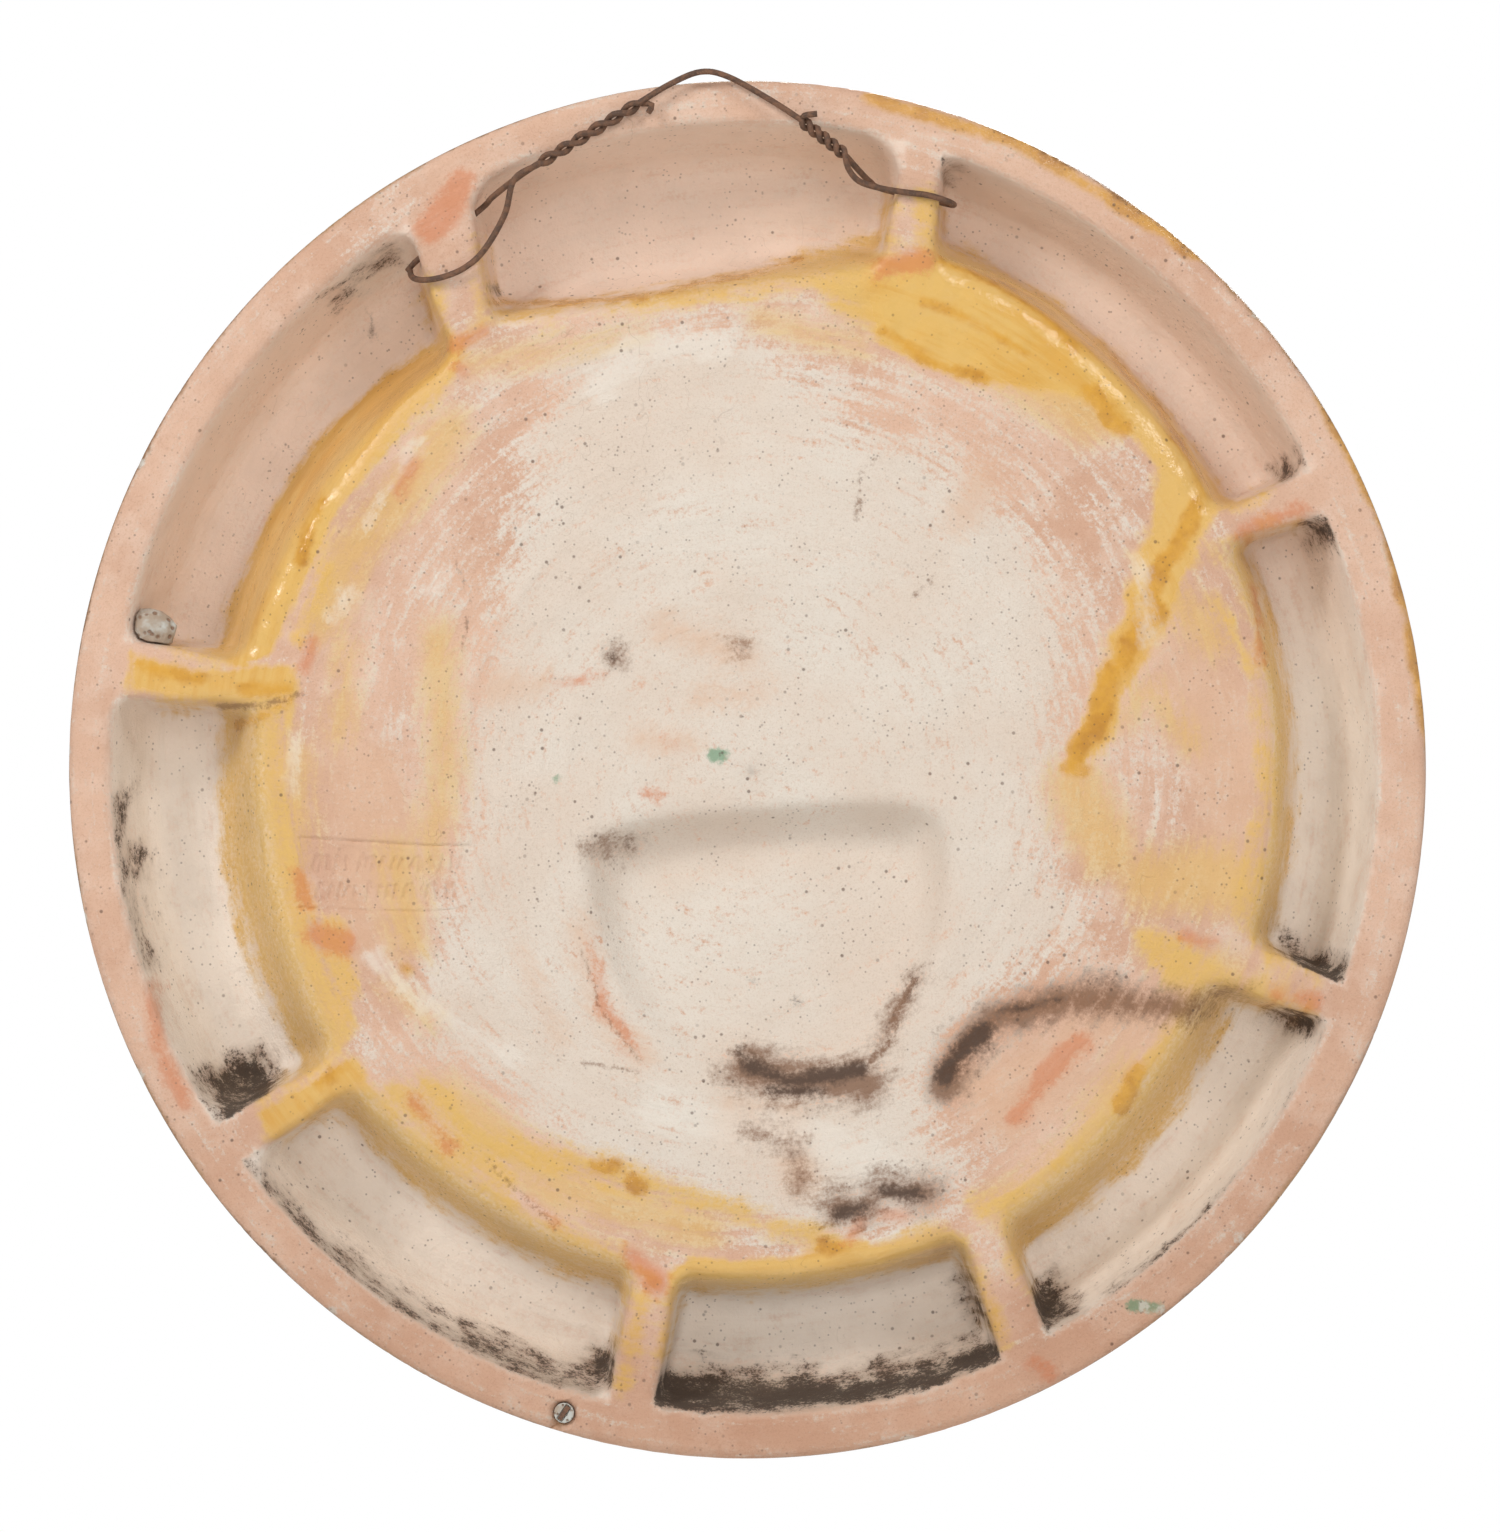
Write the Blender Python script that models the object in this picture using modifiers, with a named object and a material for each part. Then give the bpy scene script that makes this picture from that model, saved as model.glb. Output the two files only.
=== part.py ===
"""Round majolica wall plaque, modelled from its unglazed back, with its hanging wire.

The photographed back looks towards -Y and the glazed relief towards +Y. Z is up. The origin is the point
where a wall hook bears on the underside of the wire. A clock angle is in degrees from the top, clockwise
as seen from the back. An inset is a distance in from the mean outline, and it is negative outside it. A
depth is measured from the flat back of the rim towards the front.
"""
import math
from collections import namedtuple

import bmesh
import bpy
from mathutils import Matrix, Vector

# Plaque outline, pressed by hand and so a little out of round
OUTER_RADIUS = 0.2331
TALLER_BY = 0.0018
LEANS_RIGHT = -0.0013
LEANS_UP = 0.0007
OUTLINE_STEPS = 54

# Thickness of the clay
DISC_RECESS = 0.0025
DISC_THICKNESS = 0.014
SIDE_DEPTH = 0.030
EDGE_ROUND = 0.0022
SIDE_FLARE = 0.0014
STRUT_TOP_INSET = 0.0301
STRUT_FOOT_INSET = 0.0681

# Pockets in the back
POCKET_DEPTH = 0.036
POCKET_WALL = 0.0115
WALL_LEAN = 0.009
FLOOR_EDGE = 0.005
STRUT_DRAFT = 0.08
FLOOR_FILLET = 0.007
SHOULDER_FILLET = 0.006
SHOULDER_REACH = 0.012
SHOULDER_SINK = 0.0006
SECTION_SPACING = 0.023
LID = 0.006

# Each pocket: the clock angle of its start at its outer wall and at its crest, the same for its end, the
# width of rim outside it, then start, middle and end values of the inset where its floor ends and of
# the inset where its inner slope meets the disc, and the radii of its two outer corners
Pocket = namedtuple("Pocket", "name start end rim floor crest corners")
POCKETS = (
    Pocket("top", (-21.4, -26.8), (18.0, 18.6), 0.0140,
           (0.0461, 0.0581, 0.0451), (0.0581, 0.0701, 0.0551), (0.008, 0.014)),
    Pocket("upper_right", (21.4, 24.0), (66.0, 65.2), 0.0135,
           (0.0371, 0.0411, 0.0431), (0.0481, 0.0501, 0.0521), (0.007, 0.009)),
    Pocket("right", (70.0, 68.7), (114.0, 113.0), 0.0165,
           (0.0441, 0.0441, 0.0441), (0.0541, 0.0541, 0.0541), (0.005, 0.005)),
    Pocket("lower_right", (117.4, 119.0), (156.5, 154.8), 0.0160,
           (0.0491, 0.0451, 0.0441), (0.0631, 0.0621, 0.0591), (0.005, 0.006)),
    Pocket("bottom", (161.2, 160.0), (193.0, 192.3), 0.0155,
           (0.0511, 0.0501, 0.0511), (0.0611, 0.0611, 0.0611), (0.004, 0.005)),
    Pocket("lower_left", (197.0, 197.8), (236.8, 235.6), 0.0142,
           (0.0461, 0.0461, 0.0461), (0.0611, 0.0621, 0.0621), (0.006, 0.014)),
    Pocket("left", (240.8, 240.2), (280.8, 281.6), 0.0140,
           (0.0481, 0.0471, 0.0481), (0.0631, 0.0681, 0.0651), (0.014, 0.006)),
    Pocket("upper_left", (286.0, 286.8), (332.2, 328.2), 0.0145,
           (0.0451, 0.0461, 0.0511), (0.0571, 0.0611, 0.0591), (0.006, 0.009)),
)

# D-shaped hollow in the disc, the back of the relief bowl, and the rings that shape the two of them: how
# far each is drawn in from the hollow's outline and the share of the hollow's depth that it lies at
HOLLOW_CENTRE_X = 0.0035
HOLLOW_BROW_Z = -0.032
HOLLOW_HALF_WIDTH = 0.061
HOLLOW_RISE = 0.018
HOLLOW_DROP = 0.077
HOLLOW_TOP_DEPTH = 0.0165
HOLLOW_FOOT_DEPTH = 0.0035
HOLLOW_STEPS = 26
HOLLOW_RINGS = ((0.0, 0.10), (0.004, 0.55), (0.009, 0.90), (0.0145, 1.0))
HOLLOW_MOUTH = 0.003
BOWL_WALL = 0.013
BOWL_TOP_INSET = 0.010

# Mouldings of the glazed front
BEAD_HEIGHT = 0.005
RING_WIDTH = 0.0641
RING_SHOULDER_INSET = 0.0185
RING_FLAT = 0.009
FIELD_INSET = 0.0821
FIELD_DISH = 0.002

# Fruit and leaves of the ring
CLUSTERS = 8
CLUSTER_START = 4.0
CLUSTER_INSET = 0.0371
FRUIT_RADIUS = 0.0165
FRUIT_STRETCH = 1.07
FRUIT_TURN = 25.0
LEAF_LENGTH = 0.046
LEAF_WIDTH = 0.021
LEAF_THICKNESS = 0.006
LEAF_SUNK = 0.0006
LEAF_OFFSET = 0.0359
LEAF_STEP = 0.003
LEAF_SLANT = 0.25

# Fruit and leaves heaped over the bowl
HEAP_ROWS = (3, 2, 1)
HEAP_FRUIT_RADIUS = 0.0215
HEAP_SHRINK = 0.06
HEAP_PITCH = 0.036
HEAP_ROW_RISE = 0.0331
HEAP_BASE_Z = -0.010
HEAP_LEAF_TURNS = (84.0, 40.0)
HEAP_LEAF_RISE = 0.020
HEAP_LEAF_REACH = 0.068
HEAP_LEAF_STEP = 0.004
HEAP_LEAF_LENGTH = 0.0506

# Hanging wire
WIRE_DIAMETER = 0.0022
WIRE_RISE = 0.0055
WIRE_GAP = 0.0004
WIRE_STAND_OFF = 0.0042
HOLE_DIAMETER = 0.0050
HOLE_DEPTH = 0.0085
HOLE_SIDES = 12
STRAND_SPACING = WIRE_DIAMETER + WIRE_GAP
TWIST_STEPS = 6
ROUTE_SPACING = 0.0075
HOLES = (((-29.3, 0.0243), (-21.6, 0.0197)), ((17.0, 0.0289), (23.0, 0.0278)))
LEFT_TWIST = ((-15.1, 0.0141), (-5.4, 0.0026), 3.0)
RIGHT_TWIST = ((8.6, 0.0111), (12.8, 0.0208), 2.5)

# Hand-chosen points of the wire between its holes and twists: clock angle, inset and depth
LEFT_END = ((-4.7, 0.0063, -0.0048), (-4.3, 0.0039, -0.0056))
LEFT_LOOP = (
    (-17.6, 0.0160, -0.0040), (-19.7, 0.0257, -0.0026), (-22.9, 0.0335, -0.0021), (-25.4, 0.0357, -0.0021),
    (-27.6, 0.0348, -0.0020), (-29.3, 0.0323, -0.0012), (-30.2, 0.0291, 0.0028), (-30.1, 0.0261, 0.0068),
)
LEFT_CLIMB = ((-20.2, 0.0181, 0.0045), (-17.9, 0.0161, 0.0005))
APEX = (
    (-2.6, -0.0023, -WIRE_STAND_OFF), (0.0, -WIRE_RISE, -WIRE_STAND_OFF), (2.2, -0.0035, -WIRE_STAND_OFF),
    (5.6, 0.0041, -WIRE_STAND_OFF),
)
RIGHT_FALL = ((14.2, 0.0246, 0.0010), (15.6, 0.0276, 0.0060))
RIGHT_HOOK = (
    (23.7, 0.0277, 0.0062), (23.8, 0.0277, 0.0022), (23.0, 0.0277, -0.0014), (21.2, 0.0279, -0.0021),
    (19.0, 0.0291, -0.0021), (16.6, 0.0297, -0.0024), (14.5, 0.0289, -0.0036), (13.3, 0.0253, -0.0050),
)
RIGHT_END = ((8.8, 0.0095, -0.0062), (9.9, 0.0085, -0.0066))

# Plug and pin in the rim, and the plaster dab
PIECE_GAP = 0.0003
PLUG_CLOCK = 200.5
PLUG_RADIUS = 0.0035
PLUG_DEPTH = 0.004
PLUG_FROM_EDGE = 0.0065
PIN_LENGTH = 0.0054
PIN_WIDTH = 0.0016
PIN_THICKNESS = 0.0010
PIN_SUNK_SHARE = 0.3
PIN_TURN = 52.0
DAB_CLOCK = 287.4
DAB_INSET = 0.0219
DAB_DEPTH = 0.0085
DAB_LENGTH = 0.0175
DAB_WIDTH = 0.0150
DAB_THICKNESS = 0.0115
DAB_UNEVEN = 0.10

WIRE_RADIUS = WIRE_DIAMETER / 2
CENTRE = Vector((0.0, WIRE_STAND_OFF, -(OUTER_RADIUS + WIRE_RISE - WIRE_RADIUS)))
RING_CREST = POCKET_DEPTH + POCKET_WALL
FIELD_DEPTH = DISC_RECESS + DISC_THICKNESS
CLUSTER_RADIUS = OUTER_RADIUS - CLUSTER_INSET


def rim_radius(clock):
    """The outline's radius from the plaque's centre."""
    angle = math.radians(clock)
    lean = LEANS_RIGHT * math.sin(angle) + LEANS_UP * math.cos(angle)
    return OUTER_RADIUS + TALLER_BY * math.cos(2 * angle) + lean


def at_radius(clock, radius, depth):
    """A point in world coordinates, by its radius from the plaque's centre."""
    angle = math.radians(clock)
    return CENTRE + Vector((radius * math.sin(angle), depth, radius * math.cos(angle)))


def on_plaque(clock, inset, depth):
    """A point in world coordinates, by its inset from the mean outline."""
    return at_radius(clock, OUTER_RADIUS - inset, depth)


def clear_scene():
    for thing in list(bpy.data.objects):
        bpy.data.objects.remove(thing, do_unlink=True)


def new_collection(name):
    collection = bpy.data.collections.new(name)
    bpy.context.scene.collection.children.link(collection)
    return collection


def material(name, colour, roughness, metallic=0.0):
    made = bpy.data.materials.new(name)
    made.use_nodes = True
    shader = made.node_tree.nodes["Principled BSDF"]
    shader.inputs["Base Color"].default_value = (*colour, 1.0)
    shader.inputs["Roughness"].default_value = roughness
    shader.inputs["Metallic"].default_value = metallic
    made.diffuse_color = (*colour, 1.0)
    return made


def add_mesh(name, mesh, collection, finish=None):
    made = bpy.data.objects.new(name, mesh)
    collection.objects.link(made)
    if finish is not None:
        made.data.materials.append(finish)
    return made


def mesh_of(shape, name):
    """A bmesh as a mesh, with its faces pointing out."""
    bmesh.ops.recalc_face_normals(shape, faces=shape.faces)
    mesh = bpy.data.meshes.new(name)
    shape.to_mesh(mesh)
    shape.free()
    return mesh


def loft(shape, rings):
    """Joins rings of as many points each by quads, and closes the two ends."""
    rows = [[shape.verts.new(point) for point in ring] for ring in rings]
    count = len(rows[0])
    for low, high in zip(rows, rows[1:]):
        for k in range(count):
            after = (k + 1) % count
            shape.faces.new((low[k], low[after], high[after], high[k]))
    shape.faces.new(rows[0])
    shape.faces.new(reversed(rows[-1]))


def cutter(name, mesh, collection):
    made = add_mesh(name, mesh, collection)
    made.hide_render = True
    made.display_type = "WIRE"
    return made


def boolean(target, operation, tool):
    modifier = target.modifiers.new(f"{operation.lower()} {tool.name}", "BOOLEAN")
    modifier.operation = operation
    modifier.object = tool
    modifier.solver = "EXACT"


def applied(thing):
    """Puts the object's mesh, with its modifiers applied, in the object."""
    graph = bpy.context.evaluated_depsgraph_get()
    mesh = bpy.data.meshes.new_from_object(thing.evaluated_get(graph))
    thing.modifiers.clear()
    thing.data = mesh


def back_profile():
    """Radius and depth from the centre of the disc to the rim's outer edge."""
    corner = [
        (OUTER_RADIUS - EDGE_ROUND * (1 - math.sin(turn)), EDGE_ROUND * (1 - math.cos(turn)))
        for turn in (0.0, math.pi / 4, math.pi / 2)
    ]
    foot, top = OUTER_RADIUS - STRUT_FOOT_INSET, OUTER_RADIUS - STRUT_TOP_INSET
    return [
        (0.0, DISC_RECESS),
        (foot * 0.6, DISC_RECESS),
        (foot, DISC_RECESS * 0.96),
        ((foot + top) / 2, DISC_RECESS * 0.35),
        (top, 0.0),
        *corner,
    ]


def front_profile():
    """Radius and depth from the side wall over the mouldings to the centre of the field."""
    edge = OUTER_RADIUS + SIDE_FLARE
    inner = OUTER_RADIUS - RING_WIDTH
    return [
        (OUTER_RADIUS + SIDE_FLARE * 0.6, SIDE_DEPTH * 0.5),
        (edge, SIDE_DEPTH),
        (edge - BEAD_HEIGHT * 0.5, SIDE_DEPTH + BEAD_HEIGHT),
        (edge - BEAD_HEIGHT * 1.7, SIDE_DEPTH + BEAD_HEIGHT),
        (edge - BEAD_HEIGHT * 2.4, SIDE_DEPTH + BEAD_HEIGHT * 0.6),
        (OUTER_RADIUS - RING_SHOULDER_INSET, RING_CREST * 0.89),
        (CLUSTER_RADIUS + RING_FLAT, RING_CREST),
        ((CLUSTER_RADIUS + inner) / 2, RING_CREST),
        (inner + BEAD_HEIGHT, RING_CREST * 0.88),
        (inner, RING_CREST * 0.72),
        (inner - BEAD_HEIGHT * 1.4, RING_CREST * 0.72),
        (inner - BEAD_HEIGHT * 2.2, RING_CREST * 0.55),
        (OUTER_RADIUS - FIELD_INSET, FIELD_DEPTH + FIELD_DISH),
        (0.0, FIELD_DEPTH),
    ]


def turned_body(collection, finish):
    """The plaque before its pockets, turned about its axis and pushed to the hand-made outline."""
    profile = back_profile() + front_profile()
    mesh = bpy.data.meshes.new("plaque profile")
    points = [(radius, 0.0, -depth) for radius, depth in profile]
    mesh.from_pydata(points, [(k, k + 1) for k in range(len(points) - 1)], [])
    body = add_mesh("plaque", mesh, collection)
    screw = body.modifiers.new("turned", "SCREW")
    screw.axis = "Z"
    screw.steps = screw.render_steps = OUTLINE_STEPS
    screw.use_merge_vertices = True
    screw.merge_threshold = 0.00001
    body.rotation_euler = (math.pi / 2, 0.0, 0.0)
    body.location = CENTRE
    bpy.context.view_layer.update()
    applied(body)
    body.data.transform(body.matrix_world)
    body.matrix_world.identity()
    for vertex in body.data.vertices:
        out = vertex.co - CENTRE
        share = rim_radius(math.degrees(math.atan2(out.x, out.z))) / OUTER_RADIUS
        vertex.co.x = CENTRE.x + out.x * share
        vertex.co.z = CENTRE.z + out.z * share
    body.data.materials.append(finish)
    return body


def along(values, share):
    """A curve through start, middle and end values."""
    start, middle, end = values
    rest = 1 - share
    return start * rest * (rest - share) + 4 * middle * share * rest + end * share * (share - rest)


def rounding(distance, radius):
    """How far a round corner stands in from its wall at a distance along it."""
    if distance >= radius:
        return 0.0
    return radius - math.sqrt(radius ** 2 - (radius - distance) ** 2)


def stations(length, corners):
    """Distances along a pocket, close together in its corners."""
    near = [corners[0] * share for share in (0.0, 0.12, 0.4, 1.0)]
    far = [length - corners[1] * share for share in (1.0, 0.4, 0.12, 0.0)]
    count = max(2, round((far[0] - near[-1]) / SECTION_SPACING))
    step = (far[0] - near[-1]) / count
    return near + [near[-1] + step * k for k in range(1, count)] + far


def pocket_section(outer, floor, crest, depth):
    """Radius and depth round one section of a pocket, from its outer wall to the disc's shoulder."""
    slope = floor - crest
    return [
        (outer + WALL_LEAN * LID / depth, -LID),
        (outer - WALL_LEAN * 0.45, depth * 0.5),
        (outer - WALL_LEAN, depth * 0.86),
        (outer - WALL_LEAN - FLOOR_EDGE, depth),
        (floor + FLOOR_EDGE, depth),
        (floor, depth * 0.93),
        (floor - slope * 0.35, depth * 0.68),
        (floor - slope * 0.60, depth * 0.36),
        (floor - slope * 0.80, depth * 0.15),
        (crest, DISC_RECESS + SHOULDER_SINK),
        (crest - SHOULDER_REACH, -LID * 0.4),
        (crest - SHOULDER_REACH, -LID),
    ]


def pocket_cutter(pocket, collection):
    """A channel that follows the rim between two struts."""
    middle = (sum(pocket.start) + sum(pocket.end)) / 4
    wall = rim_radius(middle) - pocket.rim
    shoulder = OUTER_RADIUS - along(pocket.crest, 0.5)
    mean_radius = (wall + shoulder) / 2
    length = math.radians(sum(pocket.end) - sum(pocket.start)) / 2 * mean_radius
    rings = []
    for place in stations(length, pocket.corners):
        share = place / length
        back = length - place
        middle_clock = (sum(pocket.start) * (1 - share) + sum(pocket.end) * share) / 2
        pull = rounding(place, pocket.corners[0]) + rounding(back, pocket.corners[1])
        lift = rounding(min(place, back), FLOOR_FILLET)
        ease = rounding(min(place, back), SHOULDER_FILLET)
        outer = rim_radius(middle_clock) - pocket.rim - pull
        floor = OUTER_RADIUS - along(pocket.floor, share) + ease
        crest = OUTER_RADIUS - along(pocket.crest, share) + ease
        ring = []
        for radius, depth in pocket_section(outer, floor, crest, POCKET_DEPTH - lift):
            inward = min(1.0, max(0.0, (wall - radius) / (wall - shoulder)))
            start = pocket.start[0] + (pocket.start[1] - pocket.start[0]) * inward
            end = pocket.end[0] + (pocket.end[1] - pocket.end[0]) * inward
            clock = start + (end - start) * share
            drafted = STRUT_DRAFT * max(depth, -LID) * (1 - 2 * share)
            ring.append(at_radius(clock + math.degrees(drafted / mean_radius), radius, depth))
        rings.append(ring)
    shape = bmesh.new()
    loft(shape, rings)
    return cutter(f"{pocket.name} pocket", mesh_of(shape, pocket.name), collection)


def hollow_ring(inset, depth_share, thicker=0.0):
    """A ring of the D-shaped hollow, flat along its top and round below, drawn in by an inset."""
    ring = []
    for k in range(HOLLOW_STEPS):
        angle = 2 * math.pi * k / HOLLOW_STEPS
        across, up = math.cos(angle), math.sin(angle)
        power = 0.5 if up > 0 else 1.0
        reach = (HOLLOW_RISE if up > 0 else HOLLOW_DROP) - inset
        x = (HOLLOW_HALF_WIDTH - inset) * math.copysign(abs(across) ** power, across)
        z = reach * math.copysign(abs(up) ** power, up)
        fall = min(1.0, max(0.0, (HOLLOW_RISE - z) / (HOLLOW_RISE + HOLLOW_DROP)))
        full = HOLLOW_TOP_DEPTH + (HOLLOW_FOOT_DEPTH - HOLLOW_TOP_DEPTH) * fall
        depth = DISC_RECESS + thicker + full * depth_share
        ring.append(CENTRE + Vector((HOLLOW_CENTRE_X + x, depth, HOLLOW_BROW_Z + z)))
    return ring


def lofted_cutter(name, rings, collection):
    shape = bmesh.new()
    loft(shape, rings)
    return cutter(name, mesh_of(shape, name), collection)


def hollow_cutter(collection):
    """The D-shaped hollow: a steep brow at the top and a gently domed floor that rises to its foot."""
    rings = [hollow_ring(-HOLLOW_MOUTH, 0.0, -LID)]
    rings += [hollow_ring(inset, share) for inset, share in HOLLOW_RINGS]
    return lofted_cutter("hollow", rings, collection)


def bowl_form(collection):
    """The relief bowl on the front, which stands over the hollow by the bowl's wall."""
    rings = [
        hollow_ring(-BOWL_WALL, 0.0, DISC_THICKNESS / 2),
        hollow_ring(-BOWL_WALL, 0.4, BOWL_WALL * 0.8),
        hollow_ring(-BOWL_WALL * 0.4, 0.9, BOWL_WALL),
        hollow_ring(BOWL_TOP_INSET, 1.0, BOWL_WALL * 1.3),
    ]
    return lofted_cutter("bowl", rings, collection)


def fruit(name, centre, radius, turn, collection):
    """A sphere a little longer than wide, its stalk turned in the plaque's plane."""
    shape = bmesh.new()
    spin = Matrix.Rotation(math.radians(turn), 3, "Y")
    for vertex in bmesh.ops.create_uvsphere(shape, u_segments=8, v_segments=5, radius=radius)["verts"]:
        vertex.co.z *= FRUIT_STRETCH
        vertex.co = centre + spin @ vertex.co
    return cutter(name, mesh_of(shape, name), collection)


def leaf(name, centre, direction, length, collection):
    """A flat pointed leaf with a ridge along it, lying along a direction in the plaque's plane."""
    shape = bmesh.new()
    side = Vector((direction.z, 0.0, -direction.x))
    for vertex in bmesh.ops.create_uvsphere(shape, u_segments=4, v_segments=6, radius=1.0)["verts"]:
        across, thick, on = vertex.co
        narrow = 1 - 0.4 * abs(on)
        place = direction * (on * length / 2) + side * (across * narrow * LEAF_WIDTH / 2)
        vertex.co = centre + place + Vector((0.0, thick * LEAF_THICKNESS, 0.0))
    return cutter(name, mesh_of(shape, name), collection)


def ring_clusters(collection):
    """Fruit and leaves spaced round the moulded ring."""
    tools = []
    for k in range(CLUSTERS):
        clock = CLUSTER_START + 360.0 * k / CLUSTERS
        outward = at_radius(clock, 1.0, 0.0) - CENTRE
        sideways = Vector((outward.z, 0.0, -outward.x))
        middle = on_plaque(clock, CLUSTER_INSET, RING_CREST - FRUIT_RADIUS * 0.3)
        tools.append(fruit(f"fruit {k}", middle, FRUIT_RADIUS, clock + FRUIT_TURN, collection))
        for way in (-1.0, 1.0):
            along_ring = math.degrees(LEAF_OFFSET / CLUSTER_RADIUS)
            place = clock + way * along_ring
            middle = on_plaque(place, CLUSTER_INSET + way * LEAF_STEP, RING_CREST - LEAF_SUNK)
            direction = (sideways * way + outward * LEAF_SLANT).normalized()
            tools.append(leaf(f"leaf {k} {way}", middle, direction, LEAF_LENGTH, collection))
    return tools


def fruit_heap(collection):
    """The fruit heaped in rows over the bowl, with leaves at the sides."""
    tools = []
    for row, count in enumerate(HEAP_ROWS):
        for k in range(count):
            size = HEAP_FRUIT_RADIUS * (1.0 - HEAP_SHRINK * row)
            x = HOLLOW_CENTRE_X + (k - (count - 1) / 2) * HEAP_PITCH
            middle = CENTRE + Vector((x, FIELD_DEPTH + size * 0.45, HEAP_BASE_Z + row * HEAP_ROW_RISE))
            turn = 67.0 * k + 31.0 * row + 11.0
            tools.append(fruit(f"heap {row} {k}", middle, size, turn, collection))
    stem_depth = FIELD_DEPTH + FIELD_DISH - LEAF_SUNK
    stem = CENTRE + Vector((HOLLOW_CENTRE_X, stem_depth, HEAP_BASE_Z + HEAP_LEAF_RISE))
    for way in (-1.0, 1.0):
        for k, turn in enumerate(HEAP_LEAF_TURNS):
            angle = math.radians(turn)
            direction = Vector((way * math.sin(angle), 0.0, math.cos(angle)))
            middle = stem + direction * (HEAP_LEAF_REACH + HEAP_LEAF_STEP * k)
            tools.append(leaf(f"heap leaf {k} {way}", middle, direction, HEAP_LEAF_LENGTH, collection))
    return tools


def round_bar(name, start, finish, diameter, collection):
    """A round bar between two points."""
    shape = bmesh.new()
    way = finish - start
    turn = way.to_track_quat("Z", "Y").to_matrix().to_4x4()
    turn.translation = (start + finish) / 2
    radius = diameter / 2
    bmesh.ops.create_cone(
        shape, cap_ends=True, segments=HOLE_SIDES, radius1=radius, radius2=radius,
        depth=way.length, matrix=turn
    )
    return add_mesh(name, mesh_of(shape, name), collection)


def as_cutter(thing):
    thing.hide_render = True
    thing.display_type = "WIRE"
    return thing


def wire_hole(number, collection):
    """A hole through a strut for the wire, longer than the strut is wide."""
    near, far = HOLES[number]
    start, finish = on_plaque(*near, HOLE_DEPTH), on_plaque(*far, HOLE_DEPTH)
    over = (finish - start).normalized() * HOLE_DIAMETER
    bar = round_bar(f"wire hole {number}", start - over, finish + over, HOLE_DIAMETER, collection)
    return as_cutter(bar)


def twisted(twist, strand):
    """Points of one strand of two that are wound round each other, from the twist's start to its finish."""
    near, far, turns = twist
    start, finish = on_plaque(*near, -WIRE_STAND_OFF), on_plaque(*far, -WIRE_STAND_OFF)
    out = Vector((0.0, -1.0, 0.0))
    across = (finish - start).normalized().cross(out)
    steps = round(turns * TWIST_STEPS)
    points = []
    for k in range(steps + 1):
        angle = math.pi * strand + 2 * math.pi * turns * k / steps
        offset = (out * math.cos(angle) + across * math.sin(angle)) * STRAND_SPACING / 2
        points.append(start.lerp(finish, k / steps) + offset)
    return points


def smooth_route(points, spacing):
    """Points at about equal spacing on a smooth curve through the given ones."""
    made = []
    for k in range(len(points) - 1):
        before, start = points[max(k - 1, 0)], points[k]
        finish, after = points[k + 1], points[min(k + 2, len(points) - 1)]
        steps = max(1, round((finish - start).length / spacing))
        for step in range(steps):
            t = step / steps
            made.append(0.5 * (
                2 * start + (finish - before) * t + (2 * before - 5 * start + 4 * finish - after) * t ** 2
                + (3 * start - before - 3 * finish + after) * t ** 3
            ))
    return made + [points[-1]]


def wire_route():
    """The wire from its left free end, through both struts, to its right free end."""
    left_hole, right_hole = ([on_plaque(*end, HOLE_DEPTH) for end in hole] for hole in HOLES)
    route = [on_plaque(*point) for point in LEFT_END]
    route += twisted(LEFT_TWIST, 1)[::-1]
    route += [on_plaque(*point) for point in LEFT_LOOP] + left_hole
    route += [on_plaque(*point) for point in LEFT_CLIMB]
    route += twisted(LEFT_TWIST, 0)
    route += [on_plaque(*point) for point in APEX]
    route += twisted(RIGHT_TWIST, 0)
    route += [on_plaque(*point) for point in RIGHT_FALL] + right_hole
    route += [on_plaque(*point) for point in RIGHT_HOOK]
    route += twisted(RIGHT_TWIST, 1)[::-1]
    route += [on_plaque(*point) for point in RIGHT_END]
    return smooth_route(route, ROUTE_SPACING)


def hanging_wire(collection, finish):
    curve = bpy.data.curves.new("hanging_wire", "CURVE")
    curve.dimensions = "3D"
    curve.bevel_depth = WIRE_RADIUS
    curve.bevel_resolution = 2
    curve.use_fill_caps = True
    route = wire_route()
    spline = curve.splines.new("POLY")
    spline.points.add(len(route) - 1)
    for point, place in zip(spline.points, route):
        point.co = (*place, 1.0)
    wire = bpy.data.objects.new("hanging_wire", curve)
    collection.objects.link(wire)
    wire.data.materials.append(finish)


def plug_form(name, radius, near, far, collection):
    """A short round form standing in the rim at the plug's place."""
    inset = OUTER_RADIUS - rim_radius(PLUG_CLOCK) + PLUG_FROM_EDGE
    start, finish = on_plaque(PLUG_CLOCK, inset, near), on_plaque(PLUG_CLOCK, inset, far)
    return round_bar(name, start, finish, radius * 2, collection)


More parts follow.
